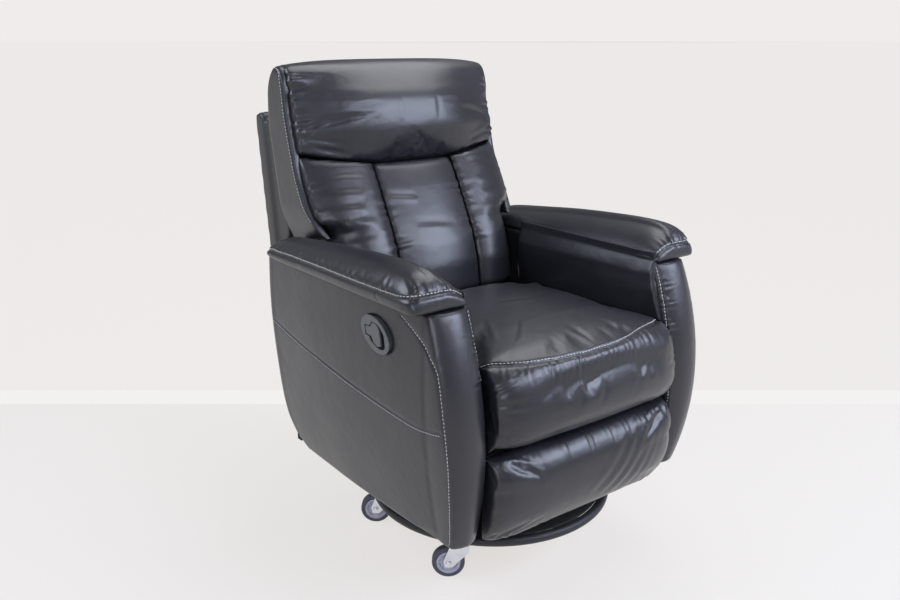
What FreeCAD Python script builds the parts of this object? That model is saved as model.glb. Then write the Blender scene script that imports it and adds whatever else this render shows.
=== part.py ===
import FreeCAD, Part
import math
import os

# Swivel recliner with a pull-out footrest, on a ring base and a castor board
# Lengths are in millimetres. Z is up, the floor is z = 0, and the chair faces -Y.
# Every shape is drawn with the swivel axis at x = 0, y = 0 and moved once at the end.

# Driving dimensions of the whole chair
swivel_y = -108.2
arm_inner_x = 268.0
seat_half_width = 264.0
back_half_width = 285.0
lumbar_seam_x = 118.7

# Castor board
board_width = 450.0
board_length = 390.0
board_thickness = 18.0
board_corner = 28.0
board_centre_y = 30.0
castor_height = 100.0
castor_inset_x = 39.0
castor_inset_y = 44.0
castor_x = board_width / 2 - castor_inset_x
castor_span_y = board_length - 2 * castor_inset_y
castor_trail = 28.0
castor_swing = 52.5
wheel_radius = 37.5
wheel_width = 24.0
hub_radius = 27.0
axle_radius = 4.0
castor_plate = 60.0
castor_plate_thickness = 2.5
castor_screw_half = 22.0
screw_radius = 2.5

# Ring base and swivel bearing
ring_outer_radius = 290.0
ring_tube_radius = 11.0
ring_wall = 2.0
ring_arm_width = 40.0
cover_height = 18.5
cover_thickness = 1.5
ring_arm_thickness = 6.0
board_bolt_x = 120.0
board_bolt_radius = 4.0
post_radius = 26.0
post_flange_radius = 62.0
post_flange_thickness = 6.0
race_inner = 34.0
race_outer = 54.0
kingpin_radius = 8.0
bearing_plate = 190.0
bearing_plate_thickness = 5.0

# Fits
running = 0.05
seated = 0.3
face_gap = 0.1
open_slack = 3.0

# Seat box
box_floor = 212.0
rail_depth = 62.0
rail_thickness = 20.0
box_front_y = -168.0
box_rear_y = 372.0
long_rail_x = 80.0

# Layers of the footrest linkage, each a plate on edge, from the arm inwards
strap = 4.0
layer_pitch = 8.0
rail_x = 259.0
plate_x = rail_x - layer_pitch
link_x = plate_x - layer_pitch
inner_link_x = link_x - layer_pitch
strap_half = 10.0
stud_radius = 4.0
stud_head = 7.0
head_thickness = 2.5

# Footrest linkage
link_length = 178.0
link_rest_angle = 9.0
link_travel = 57.0
link_pivot_y = -202.0
link_pivot_z = 382.0
tilt_pin_drop = 26.0
tilt_crank = 119.7
drive_tube_radius = 10.0
drive_tube_wall = 2.0

# Seat slide and back pivot
slide_rise = 16.3
slide_travel = 56.9
slide_stud_z = 366.0
slide_stud_front = -98.0
slide_stud_rear = 128.0
back_pivot_y = 300.0
back_pivot_z = 530.0
back_crank = 100.0

# Heights of the cushions
seat_floor = 453.5
seat_front_low = 404.0
footrest_top = 388.0
footrest_low = 196.0
footrest_half_width = 264.0
back_low = 557.0
shoulder_z = 762.0
arm_low = 205.0
arm_top = 690.0


def vec(x, y, z):
    return FreeCAD.Vector(x, y, z)


def block(x0, x1, y0, y1, z0, z1):
    """A box from its low and high corners."""
    return Part.makeBox(x1 - x0, y1 - y0, z1 - z0, vec(x0, y0, z0))


def rod_x(x0, x1, y, z, radius):
    """A round bar along X between two x positions."""
    return Part.makeCylinder(radius, x1 - x0, vec(x0, y, z), vec(1, 0, 0))


def rod_z(x, y, z0, z1, radius):
    """A round bar along Z between two heights."""
    return Part.makeCylinder(radius, z1 - z0, vec(x, y, z0), vec(0, 0, 1))


def mirrored(shape):
    """The same shape on the other side of the chair."""
    return shape.mirror(vec(0, 0, 0), vec(1, 0, 0))


def both_sides(shape):
    """A left and right pair in one node."""
    return Part.makeCompound([shape, mirrored(shape)])


def polygon_plate(points, x0, thickness):
    """A flat plate on edge: a y-z outline, thickened along X."""
    corners = [vec(x0, y, z) for y, z in points]
    face = Part.Face(Part.makePolygon(corners + corners[:1]))
    return face.extrude(vec(thickness, 0, 0))


def strap_plate(a, b, x0, half):
    """A flat link with round ends between two y-z points."""
    length = math.hypot(b[0] - a[0], b[1] - a[1])
    dy = (b[0] - a[0]) / length * half
    dz = (b[1] - a[1]) / length * half
    p1 = vec(x0, a[0] - dz, a[1] + dy)
    p2 = vec(x0, b[0] - dz, b[1] + dy)
    p3 = vec(x0, b[0] + dz, b[1] - dy)
    p4 = vec(x0, a[0] + dz, a[1] - dy)
    far = Part.Arc(p2, vec(x0, b[0] + dy, b[1] + dz), p3).toShape()
    near = Part.Arc(p4, vec(x0, a[0] - dy, a[1] - dz), p1).toShape()
    outline = [Part.makeLine(p1, p2), far, Part.makeLine(p3, p4), near]
    face = Part.Face(Part.Wire(outline))
    return face.extrude(vec(strap, 0, 0))


def slot_tool(a, b, x0, x1, half):
    """The cutter of a round-ended slot."""
    tool = strap_plate(a, b, x0, half)
    tool = tool.fuse(tool.translated(vec(x1 - x0 - strap, 0, 0)))
    return tool.fuse(tool.translated(vec(strap - 1.0, 0, 0)))


def hole(shape, x0, point, radius):
    """Drill a hole along X through a plate that starts at x0."""
    return shape.cut(rod_x(x0 - 1.0, x0 + strap + 1.0, point[0], point[1], radius))


def stud_out(shape, x0, x1, point, head=stud_head):
    """A headed stud that stands out from a plate, from x0 past x1."""
    y, z = point
    shank = rod_x(x0, x1 + face_gap, y, z, stud_radius)
    cap = rod_x(x1 + face_gap, x1 + face_gap + head_thickness, y, z, head)
    return shape.fuse([shank, cap])


def stud_in(shape, x0, x1, point, head=stud_head):
    """A headed stud that stands inwards from a plate, from x0 down past x1."""
    y, z = point
    shank = rod_x(x1 - face_gap, x0, y, z, stud_radius)
    cap = rod_x(x1 - face_gap - head_thickness, x1 - face_gap, y, z, head)
    return shape.fuse([shank, cap])


def arc_wire(points):
    """A closed outline of three-point arcs. A straight triple gives a line."""
    edges = []
    count = len(points)
    for start in range(0, count, 2):
        a = points[start]
        b = points[start + 1]
        c = points[(start + 2) % count]
        if (b - a).cross(c - b).Length < 1e-3 * (c - a).Length ** 2:
            edges.append(Part.makeLine(a, c))
        else:
            edges.append(Part.Arc(a, b, c).toShape())
    return Part.Wire(edges)


def arc_loft(stations, ruled=False):
    """A solid through closed arc outlines, smooth unless it is ruled."""
    return Part.makeLoft([arc_wire(points) for points in stations], True, ruled)


def swell_rows(half, power=4.0):
    """Stations across a cushion, each with how full it is: 1 in the middle, 0 at the ends."""
    rows = []
    for share in (-1.0, -0.95, -0.82, -0.55, -0.2, 0.2, 0.55, 0.82, 0.95, 1.0):
        rows.append((half * share, 1.0 - abs(share) ** power))
    return rows


def rounded_box(x0, x1, y0, y1, z0, z1, radius, direction="Z"):
    """A box with four rounded edges along one direction."""
    shape = block(x0, x1, y0, y1, z0, z1)
    edges = []
    for edge in shape.Edges:
        span = edge.Vertexes[1].Point - edge.Vertexes[0].Point
        along = {"X": abs(span.x), "Y": abs(span.y), "Z": abs(span.z)}[direction]
        if along > 1e-6:
            edges.append(edge)
    return shape.makeFillet(radius, edges)


def forward(u, w):
    """A y-z point of the linkage: u ahead of the main pivot, w above it."""
    return (link_pivot_y - u, link_pivot_z + w)


def castor_places():
    """The four swivel axes, named by corner."""
    front = board_centre_y - castor_span_y / 2
    rear = board_centre_y + castor_span_y / 2
    return {
        "front_left": (-castor_x, front),
        "front_right": (castor_x, front),
        "rear_left": (-castor_x, rear),
        "rear_right": (castor_x, rear),
    }


# The castor board
def roller_board():
    half = board_width / 2
    y0 = board_centre_y - board_length / 2
    y1 = board_centre_y + board_length / 2
    top = castor_height + board_thickness
    board = rounded_box(-half, half, y0, y1, castor_height, top, board_corner)
    for x, y in castor_places().values():
        for sx in (-1, 1):
            for sy in (-1, 1):
                sink_x = x + sx * castor_screw_half
                sink_y = y + sy * castor_screw_half
                board = board.cut(rod_z(sink_x, sink_y, castor_height, castor_height + 13, screw_radius))
    for x, y in bolt_places():
        board = board.cut(rod_z(x, y, castor_height - 1, top + 1, board_bolt_radius + running))
    return board


def bolt_places():
    """Bolts that hold the ring's flat arms to the board."""
    return [(board_bolt_x, 0.0), (-board_bolt_x, 0.0), (0.0, board_bolt_x), (0.0, -board_bolt_x)]


def castor_plates():
    plates = []
    half = castor_plate / 2
    low = castor_height - castor_plate_thickness
    for x, y in castor_places().values():
        plate = rounded_box(x - half, x + half, y - half, y + half, low, castor_height, 6.0)
        race = Part.makeCone(20.0, 15.0, 5.0, vec(x, y, low), vec(0, 0, -1))
        plate = plate.fuse(race)
        for sx in (-1, 1):
            for sy in (-1, 1):
                drill_x = x + sx * castor_screw_half
                drill_y = y + sy * castor_screw_half
                plate = plate.cut(rod_z(drill_x, drill_y, low - 1, castor_height + 1, screw_radius))
        plates.append(plate)
    return Part.makeCompound(plates)


def castor_screws():
    screws = []
    low = castor_height - castor_plate_thickness
    for x, y in castor_places().values():
        for sx in (-1, 1):
            for sy in (-1, 1):
                sx0 = x + sx * castor_screw_half
                sy0 = y + sy * castor_screw_half
                shank = rod_z(sx0, sy0, low, castor_height + 12.5, screw_radius)
                head = Part.makeCone(3.0, 4.6, 2.2, vec(sx0, sy0, low - 2.2), vec(0, 0, 1))
                screws.append(shank.fuse(head))
    return Part.makeCompound(screws)


def castor_turn(shape, x, y):
    """Swing a castor part from trailing straight back to its parked angle."""
    shape.rotate(vec(x, y, 0), vec(0, 0, 1), castor_swing)
    return shape


def castor_fork(x, y):
    """Swivel head and bent fork legs, with the axle riveted in."""
    wheel_y = y + castor_trail
    cup_top = castor_height - castor_plate_thickness - 5.0 - face_gap
    crown = cup_top - 4.0
    gap = wheel_width / 2 + 1.5
    leg = 2.5
    head = Part.makeCylinder(21.0, 4.0, vec(x, y, crown))
    bridge = block(x - gap - leg, x + gap + leg, y - 19, wheel_y - 6, crown - leg, crown)
    fork = head.fuse(bridge)
    outline = [
        (y - 19, crown),
        (wheel_y - 6, crown),
        (wheel_y + 11, wheel_radius + 6),
        (wheel_y + 8, wheel_radius - 9),
        (wheel_y - 8, wheel_radius - 9),
        (y - 19, crown - 22),
    ]
    for side in (-1, 1):
        start = x + side * (gap + leg / 2) - leg / 2
        fork = fork.fuse(polygon_plate(outline, start, leg))
    axle = rod_x(x - gap - leg - 2, x + gap + leg + 2, wheel_y, wheel_radius, axle_radius)
    for side in (-1, 1):
        end = x + side * (gap + leg + 2.5)
        fork = fork.fuse(rod_x(end - 2.5, end + 2.5, wheel_y, wheel_radius, 6.5))
    return castor_turn(fork.fuse(axle), x, y)


def castor_hub(x, y):
    """Moulded wheel centre with a dished face on each side."""
    wheel_y = y + castor_trail
    half = wheel_width / 2
    hub = rod_x(x - half + 1, x + half - 1, wheel_y, wheel_radius, hub_radius)
    for side in (-1, 1):
        start = x + side * (half - 1)
        dish = Part.makeCone(21.5, 18.5, 4.0, vec(start, wheel_y, wheel_radius), vec(-side, 0, 0))
        boss = rod_x(min(start, start - side * 4), max(start, start - side * 4), wheel_y, wheel_radius, 9.5)
        hub = hub.cut(dish.cut(boss))
    boss = rod_x(x - half, x + half, wheel_y, wheel_radius, 9.5)
    bore = rod_x(x - half - 1, x + half + 1, wheel_y, wheel_radius, axle_radius + running)
    return castor_turn(hub.fuse(boss).cut(bore), x, y)


def castor_tyre(x, y):
    """Grey tyre with rounded shoulders, pressed over the hub."""
    wheel_y = y + castor_trail
    half = wheel_width / 2
    shoulder = 5.0
    inner = hub_radius
    outer = wheel_radius
    profile = [
        vec(x - half + 1, wheel_y, wheel_radius + inner),
        vec(x + half - 1, wheel_y, wheel_radius + inner),
        vec(x + half - 1, wheel_y, wheel_radius + outer - shoulder),
        vec(x + half - shoulder, wheel_y, wheel_radius + outer),
        vec(x - half + shoulder, wheel_y, wheel_radius + outer),
        vec(x - half + 1, wheel_y, wheel_radius + outer - shoulder),
    ]
    bend = 0.7071 * (shoulder - 1)
    right_mid = vec(x + half - shoulder + bend, wheel_y, wheel_radius + outer - shoulder + bend * 1.25)
    left_mid = vec(x - half + shoulder - bend, wheel_y, wheel_radius + outer - shoulder + bend * 1.25)
    edges = [
        Part.makeLine(profile[0], profile[1]),
        Part.makeLine(profile[1], profile[2]),
        Part.Arc(profile[2], right_mid, profile[3]).toShape(),
        Part.makeLine(profile[3], profile[4]),
        Part.Arc(profile[4], left_mid, profile[5]).toShape(),
        Part.makeLine(profile[5], profile[0]),
    ]
    face = Part.Face(Part.Wire(edges))
    tyre = face.revolve(vec(x, wheel_y, wheel_radius), vec(1, 0, 0), 360)
    return castor_turn(tyre, x, y)


# The ring base
def base_ring():
    """Bent tube ring with four flat arms welded across it."""
    floor = castor_height + board_thickness
    centre_radius = ring_outer_radius - ring_tube_radius
    centre = vec(0, 0, floor + ring_tube_radius)
    outer = Part.makeTorus(centre_radius, ring_tube_radius, centre)
    inner = Part.makeTorus(centre_radius, ring_tube_radius - ring_wall, centre)
    half = ring_arm_width / 2
    reach = centre_radius - ring_tube_radius + 3.0
    arms = block(-reach, reach, -half, half, floor, floor + ring_arm_thickness)
    arms = arms.fuse(block(-half, half, -reach, reach, floor, floor + ring_arm_thickness))
    ring = outer.cut(inner).fuse(arms.cut(inner))
    for x, y in bolt_places():
        ring = ring.cut(rod_z(x, y, floor - 1, floor + ring_arm_thickness + 1, board_bolt_radius + running))
    return ring


def ring_cover():
    """Black cloth disc stretched inside the ring above its arms."""
    low = castor_height + board_thickness + cover_height
    centre_radius = ring_outer_radius - ring_tube_radius
    drop = low - castor_height - board_thickness - ring_tube_radius
    inside = centre_radius - math.sqrt(ring_tube_radius ** 2 - drop ** 2)
    disc = rod_z(0, 0, low, low + cover_thickness, inside - seated)
    return disc.cut(rod_z(0, 0, low - 1, low + cover_thickness + 1, post_radius + 4))


def board_bolts():
    """Bolts through arm and board, each with its nut and head."""
    bolts = []
    top = castor_height + board_thickness + ring_arm_thickness
    for x, y in bolt_places():
        shank = rod_z(x, y, castor_height - 9, top, board_bolt_radius)
        head = Part.makeCylinder(8.0, 4.0, vec(x, y, top))
        nut = hexagon(x, y, castor_height - 7, 7.0, 6.5)
        bolts.append(shank.fuse([head, nut]))
    return Part.makeCompound(bolts)


def hexagon(x, y, z0, height, across):
    """A six-sided nut or bolt head."""
    corners = []
    for step in range(6):
        angle = math.radians(60 * step)
        corners.append(vec(x + across * math.cos(angle), y + across * math.sin(angle), z0))
    face = Part.Face(Part.makePolygon(corners + corners[:1]))
    return face.extrude(vec(0, 0, height))


def post_floor():
    return castor_height + board_thickness + ring_arm_thickness


def race_floor():
    return box_floor - bearing_plate_thickness - 14.0


def swivel_post():
    """Welded post: a lower flange on the ring's arms, a tube and an upper flange."""
    low = post_floor()
    high = race_floor()
    post = rod_z(0, 0, low, high, post_radius)
    post = post.fuse(rod_z(0, 0, low, low + post_flange_thickness, post_flange_radius))
    post = post.fuse(rod_z(0, 0, high - post_flange_thickness, high, post_flange_radius))
    post = post.cut(rod_z(0, 0, low + post_flange_thickness, high - post_flange_thickness, post_radius - 3))
    return post.cut(rod_z(0, 0, high - post_flange_thickness - 1, high + 1, kingpin_radius))


def bearing_race():
    """Closed ball race that carries the chair on the post."""
    low = race_floor()
    high = box_floor - bearing_plate_thickness - face_gap
    mid = (low + high) / 2
    profile = [
        vec(race_inner, 0, low),
        vec((race_inner + race_outer) / 2, 0, low),
        vec(race_outer, 0, low),
        vec(race_outer + 3, 0, mid),
        vec(race_outer, 0, high),
        vec((race_inner + race_outer) / 2, 0, high),
        vec(race_inner, 0, high),
        vec(race_inner - 3, 0, mid),
    ]
    face = Part.Face(arc_wire(profile))
    return face.revolve(vec(0, 0, 0), vec(0, 0, 1), 360)


def kingpin():
    """Centre pin that keeps the chair on its base."""
    low = race_floor() - post_flange_thickness
    pin = rod_z(0, 0, low, box_floor + face_gap, kingpin_radius)
    cap = rod_z(0, 0, box_floor + face_gap, box_floor + 7, 18.0)
    lift = hexagon(0, 0, box_floor + 7, 8.0, 13.0)
    return pin.fuse([cap, lift])


def bearing_plate_part():
    """Square upper plate with the centre hole, under the long rails."""
    half = bearing_plate / 2
    low = box_floor - bearing_plate_thickness
    plate = rounded_box(-half, half, -half, half, low, box_floor, 10.0)
    plate = plate.cut(rod_z(0, 0, low - 1, box_floor + 1, kingpin_radius + running))
    for x, y in plate_bolt_places():
        plate = plate.cut(rod_z(x, y, low - 1, box_floor + 1, board_bolt_radius))
    return plate


def plate_bolt_places():
    reach = bearing_plate / 2 - 22
    return [(sx * long_rail_x, sy * reach) for sx in (-1, 1) for sy in (-1, 1)]


# The seat box
def box_rails():
    """Two cross rails between the arms, and two long rails for the bearing plate."""
    low = box_floor
    high = box_floor + rail_depth
    half = arm_inner_x
    front = block(-half, half, box_front_y, box_front_y + rail_thickness, low, high)
    rear = block(-half, half, box_rear_y - rail_thickness, box_rear_y, low, high)
    rails = [front, rear]
    for side in (-1, 1):
        x0 = side * long_rail_x - 17.5
        y0 = box_front_y + rail_thickness
        y1 = box_rear_y - rail_thickness
        rail = block(x0, x0 + 35, y0, y1, low, low + 34)
        rails.append(rail)
    shape = rails[0].fuse(rails[1:])
    for x, y in plate_bolt_places():
        shape = shape.cut(rod_z(x, y, low - 1, low + 40, board_bolt_radius))
    return shape.removeSplitter()


def box_bolts():
    """Bolts of the bearing plate, and the cross bolts of the slide rails."""
    bolts = []
    low = box_floor - bearing_plate_thickness
    for x, y in plate_bolt_places():
        shank = rod_z(x, y, low, low + 39 + 4, board_bolt_radius)
        head = hexagon(x, y, low - 5, 5.0, 7.0)
        nut = hexagon(x, y, box_floor + 34, 6.5, 7.0)
        bolts.append(shank.fuse([head, nut]))
    for y in slide_bolt_places():
        z = slide_stud_z + 4
        shank = rod_x(rail_x, arm_inner_x + 20, y, z, board_bolt_radius)
        head = rod_x(rail_x - 2.5, rail_x, y, z, 8.0)
        bolts.append(shank.fuse(head))
        bolts.append(mirrored(shank.fuse(head)))
    return Part.makeCompound(bolts)


def slide_bolt_places():
    return [slide_stud_front + 60.0, slide_stud_rear + 62.0]


def dust_cover():
    """Black cloth on a stiff sheet under the box, open round the bearing."""
    thickness = 1.2
    half = arm_inner_x - 6
    low = box_floor - thickness
    sheet = block(-half, half, box_front_y, box_rear_y, low, box_floor)
    gap = bearing_plate / 2 + 5
    return sheet.cut(block(-gap, gap, -gap, gap, low - 1, box_floor + 1))


def rear_lower_panel():
    """Fixed leather panel that closes the box behind, below the moving back."""
    half = arm_inner_x - seated
    y0 = box_rear_y + seated
    points = [
        vec(-half, y0, 212), vec(-half, y0 + 12, 206), vec(-half, y0 + 24, 214),
        vec(-half, y0 + 28, 350), vec(-half, y0 + 24, 490), vec(-half, y0 + 12, 498),
        vec(-half, y0, 490), vec(-half, y0, 350),
    ]
    face = Part.Face(arc_wire(points))
    return face.extrude(vec(2 * half, 0, 0))


# The arms
def arm_outer_x(z):
    """How far the outer leather of an arm stands out at a height."""
    return 381.0 - 33.0 * ((z - 545.0) / 340.0) ** 2


def arm_front_y(z):
    """The rounded front outline of an arm seen from the side."""
    return -315.0 + 47.0 * ((z - 402.0) / 250.0) ** 2


def arm_body(side):
    """Padded arm: bowed outer side, flat inner side, hollow round its frame."""
    stations = []
    for z in (arm_low, 290.0, 400.0, 510.0, 610.0, arm_top):
        outer = arm_outer_x(z)
        rear = 380.0 + (z - 250.0) * 0.068
        if z < 215:
            rear = 300.0
        front = -245.0
        stations.append([
            vec(arm_inner_x, front, z), vec(arm_inner_x, 60, z),
            vec(arm_inner_x, rear - 8, z), vec(arm_inner_x + 3, rear - 3, z),
            vec(arm_inner_x + 10, rear, z), vec(325, rear + 3, z),
            vec(outer - 26, rear - 2, z), vec(outer - 9, rear - 12, z),
            vec(outer - 2, rear - 40, z), vec(outer + 3, 20, z),
            vec(outer - 6, front + 6, z), vec(outer - 8, front + 2, z),
            vec(outer - 10, front, z), vec(310, front, z),
        ])
    body = arc_loft(stations)
    body = body.cut(block(arm_inner_x + 3, 340, -238, 352, arm_low - 5, arm_top - 6))
    bolt_bore = board_bolt_radius + running
    for y in slide_bolt_places():
        body = body.cut(rod_x(arm_inner_x - 1, arm_inner_x + 5, y, slide_stud_z + 4, bolt_bore))
    if side < 0:
        body = mirrored(body)
        pocket = lever_outline(-(arm_outer_x(lever_z) + 12), 40.0, lever_reach + seated)
        body = body.cut(pocket)
    return body


def arm_frame(side):
    """Plywood box inside an arm: inner board, two posts and a top board."""
    x0 = arm_inner_x + 3 + seated
    x1 = 340 - seated
    y0 = -238 + seated
    y1 = 352 - seated
    low = arm_low + 3
    high = arm_top - 6 - seated
    inner = block(x0, x0 + 18, y0, y1, low, high)
    front = block(x0 + 18, x1, y0, y0 + 18, low, high)
    rear = block(x0 + 18, x1, y1 - 18, y1, low, high)
    top = block(x0 + 18, x1, y0 + 18, y1 - 18, high - 18, high)
    frame = inner.fuse([front, rear, top])
    for y in slide_bolt_places():
        frame = frame.cut(rod_x(x0 - 1, arm_inner_x + 21, y, slide_stud_z + 4, board_bolt_radius + running))
    if side < 0:
        frame = mirrored(frame)
    return frame


def arm_front(side):
    """Padded facing on the front of an arm, between two stitched corners."""
    stations = []
    back = -245.0 - seated
    for z in (arm_low - 3, 262.0, 330.0, 402.0, 480.0, 560.0, 630.0, arm_top - seated):
        front = min(arm_front_y(z), back - 7)
        depth = back - front
        outer = arm_outer_x(z) - 8
        inner = arm_inner_x + 2
        stations.append([
            vec(inner, back, z), vec(inner - 0.5, back - depth * 0.5, z),
            vec(inner + 2, front + 5, z), vec(inner + 12, front, z),
            vec((inner + outer) / 2, front - 7, z), vec(outer - 14, front - 1, z),
            vec(outer - 3, front + 4, z), vec(outer, back - depth * 0.5, z),
            vec(outer, back, z), vec((inner + outer) / 2, back, z),
        ])
    shape = arc_loft(stations)
    return shape if side > 0 else mirrored(shape)


def arm_pad(side):
    """Padded arm top: a crowned roll with a lip that overhangs all round."""
    stations = []
    rows = [
        (-257.0, 708.0, 390.0), (-250.0, 733.0, 401.0), (-230.0, 755.0, 408.0), (-188.0, 767.0, 410.0),
        (-60.0, 765.0, 410.0), (90.0, 755.0, 409.0), (230.0, 741.0, 407.0),
        (320.0, 732.0, 404.0), (352.0, 722.0, 396.0), (364.0, 706.0, 380.0),
    ]
    low = arm_top + seated
    for y, crown, lip in rows:
        rise = crown - low
        inner = arm_inner_x - 7 + (410.0 - lip) * 0.5
        stations.append([
            vec(inner, y, low), vec(inner - 2, y, low + rise * 0.28),
            vec(inner + 6, y, low + rise * 0.55), vec(inner + 32, y, low + rise * 0.92),
            vec(inner + 78, y, crown), vec(lip - 18, y, low + rise * 0.80),
            vec(lip, y, low + min(26.0, rise * 0.42)), vec(lip - 0.5, y, low + rise * 0.18),
            vec(lip - 4, y, low), vec((inner + lip) / 2, y, low),
        ])
    shape = arc_loft(stations)
    return shape if side > 0 else mirrored(shape)


# The release handle in the side of the arm
lever_y = -96.0
lever_z = 615.0
lever_long = 47.0
lever_short = 29.0
lever_tilt = 20.0
lever_reach = 0.0
cup_wall = 2.5
cup_depth = 26.0
barrel_y = 6.0
barrel_depth = 15.0
barrel_pin = 2.0


def lever_outline(x0, depth, grow):
    """An oval block, long axis dropping to the front, from x0 inwards."""
    ellipse = Part.Ellipse(vec(0, 0, 0), lever_long + grow, lever_short + grow).toShape()
    face = Part.Face(Part.Wire([ellipse]))
    block_shape = face.extrude(vec(0, 0, depth))
    turn = FreeCAD.Rotation(vec(0, 1, 0), vec(0, 0, 1), vec(1, 0, 0), "ZXY")
    block_shape.Placement = FreeCAD.Placement(vec(0, 0, 0), turn)
    block_shape.rotate(vec(0, 0, 0), vec(1, 0, 0), lever_tilt)
    block_shape.translate(vec(x0, lever_y, lever_z))
    return block_shape


def lever_bezel():
    """Oval plate over the leather, its opening shaped for the paddle and fingertips, with a cup behind."""
    face_x = -(arm_outer_x(lever_z) + 6.5)
    rim = lever_outline(face_x, 3.0, 5.0)
    cup = lever_outline(face_x, cup_depth, lever_reach)
    hollow = lever_outline(face_x + 3.0, cup_depth - cup_wall - 3.0, -cup_wall)
    window = [
        (11, 24.7), (-5, 24.5), (-14, 21.5), (-23, 17), (-32, 7), (-36, -8), (-36, -19), (-30, -25),
        (-20, -27), (-8, -26), (6, -20), (14.2, -17.8), (21, -8.8), (33.5, -7.5), (38, 12.5), (19.3, 14.2),
    ]
    opening = lever_cut(window, face_x - 1, 5.0)
    shell = rim.fuse(cup).cut(hollow).cut(opening)
    floor_x = face_x + cup_depth - cup_wall
    for side in (-1, 1):
        z0 = min(side * 13.4, side * 20.0)
        lug = block(floor_x - 13, floor_x + 0.5, barrel_y - 5, barrel_y + 5, z0, z0 + 6.6)
        lug = lug.cut(Part.makeCylinder(barrel_pin + running, 60, vec(face_x + barrel_depth, barrel_y, -30)))
        shell = shell.fuse(lever_placed(lug))
    return shell


def lever_cut(points, x0, depth):
    """A block inwards from x0 over y-z points about the handle's centre."""
    shape = polygon_plate(points, x0, depth)
    shape.translate(vec(0, lever_y, lever_z))
    return shape


def lever_placed(shape):
    """Turn and move a piece drawn about the handle's centre."""
    shape.rotate(vec(0, 0, 0), vec(1, 0, 0), lever_tilt)
    shape.translate(vec(0, lever_y, lever_z))
    return shape


def lever_paddle():
    """T-shaped finger paddle on a cross barrel, just below the face of its plate."""
    face_x = -(arm_outer_x(lever_z) + 6.5)
    outline = [
        (10, 22.7), (-4, 22), (-14, 12), (-18, -4), (-20, -20), (-8, -24), (6, -17.7),
        (13.8, -7), (31.6, -5), (35.5, 10.4), (18, 12),
    ]
    plate = lever_cut(outline, face_x + 1.0, 4.0)
    foot = block(face_x + 4.5, face_x + barrel_depth + 4, barrel_y - 6, barrel_y, -9, 9)
    barrel = Part.makeCylinder(4.0, 26.0, vec(face_x + barrel_depth, barrel_y, -13))
    pin = Part.makeCylinder(barrel_pin, 36.0, vec(face_x + barrel_depth, barrel_y, -18))
    return plate.fuse(lever_placed(foot.fuse([barrel, pin])))


# The slide rails fixed to the arms
def slide_vector(length):
    """A move of the seat along its sloping slots."""
    angle = math.radians(slide_rise)
    return (-length * math.cos(angle), length * math.sin(angle))


def slide_rails():
    """Plate on each arm: two sloping slots for the seat, and the back's pivot stud."""
    outline = [
        (-170, 330), (170, 330), (316, 505), (316, 540),
        (308, 546), (292, 546), (284, 540), (280, 505),
        (205, 405), (-170, 405),
    ]
    rail = polygon_plate(outline, rail_x, strap)
    dy, dz = slide_vector(slide_travel)
    for y in (slide_stud_front, slide_stud_rear):
        ends = ((y, slide_stud_z), (y + dy, slide_stud_z + dz))
        tool = slot_tool(*ends, rail_x - 1, rail_x + strap + 1, stud_radius + running)
        rail = rail.cut(tool)
    for y in slide_bolt_places():
        z = slide_stud_z + 4
        rail = rail.fuse(rod_x(rail_x + strap, arm_inner_x, y, z, 11.0))
        rail = rail.cut(rod_x(rail_x - 1, arm_inner_x + 1, y, z, board_bolt_radius))
    pivot = (back_pivot_y, back_pivot_z)
    rail = stud_in(rail, rail_x, link_x, pivot)
    return both_sides(rail)


# The seat
def mechanism_plates():
    """Seat side plates: slide studs, the linkage's fixed pivot and its guide slot."""
    drop = link_length * math.cos(math.radians(link_rest_angle))
    lift = link_length * math.cos(math.radians(link_rest_angle + link_travel))
    main = forward(0, 0)
    outline = [
        (main[0] - 16, main[1] - drop - 13), (main[0] + 16, main[1] - drop - 13),
        (main[0] + 16, 345), (250, 345), (315, 420), (315, 440),
        (308, 446), (292, 446), (270, 420), (main[0] - 16, 420),
    ]
    plate = polygon_plate(outline, plate_x, strap)
    slot = slot_tool(
        (main[0], main[1] - drop - seated), (main[0], main[1] - lift + seated),
        plate_x - 1, plate_x + strap + 1, stud_radius + running)
    plate = plate.cut(slot)
    plate = stud_in(plate, plate_x, link_x, main)
    for y in (slide_stud_front, slide_stud_rear):
        plate = stud_out(plate, plate_x + strap, rail_x + strap, (y, slide_stud_z), 6.0)
    crank = (back_pivot_y, back_pivot_z - back_crank)
    plate = stud_in(plate, plate_x, link_x, crank)
    flange = block(plate_x - 36, plate_x + strap, main[0] - 16, 165, 416, 420)
    return both_sides(plate.fuse(flange))


def seat_frame():
    """Wooden seat frame on the plates' flanges."""
    low = 420.0
    high = 450.0
    front = block(-250, 250, -284, -258, low, high)
    rear = block(-250, 250, 130, 156, low, high)
    left = block(-250, -214, -258, 130, low, high)
    right = block(214, 250, -258, 130, low, high)
    return front.fuse([rear, left, right]).removeSplitter()


def seat_webbing():
    """Straps across the seat frame, one layer each way."""
    straps = []
    low = 450.0
    for row in range(4):
        y = -205.0 + row * 88.0
        straps.append(block(-246, 246, y - 24, y + 24, low, low + 1.5))
    for column in range(4):
        x = -150.0 + column * 100.0
        straps.append(block(x - 24, x + 24, -282, 154, low + 1.5, low + 3.0))
    return Part.makeCompound(straps)


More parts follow.
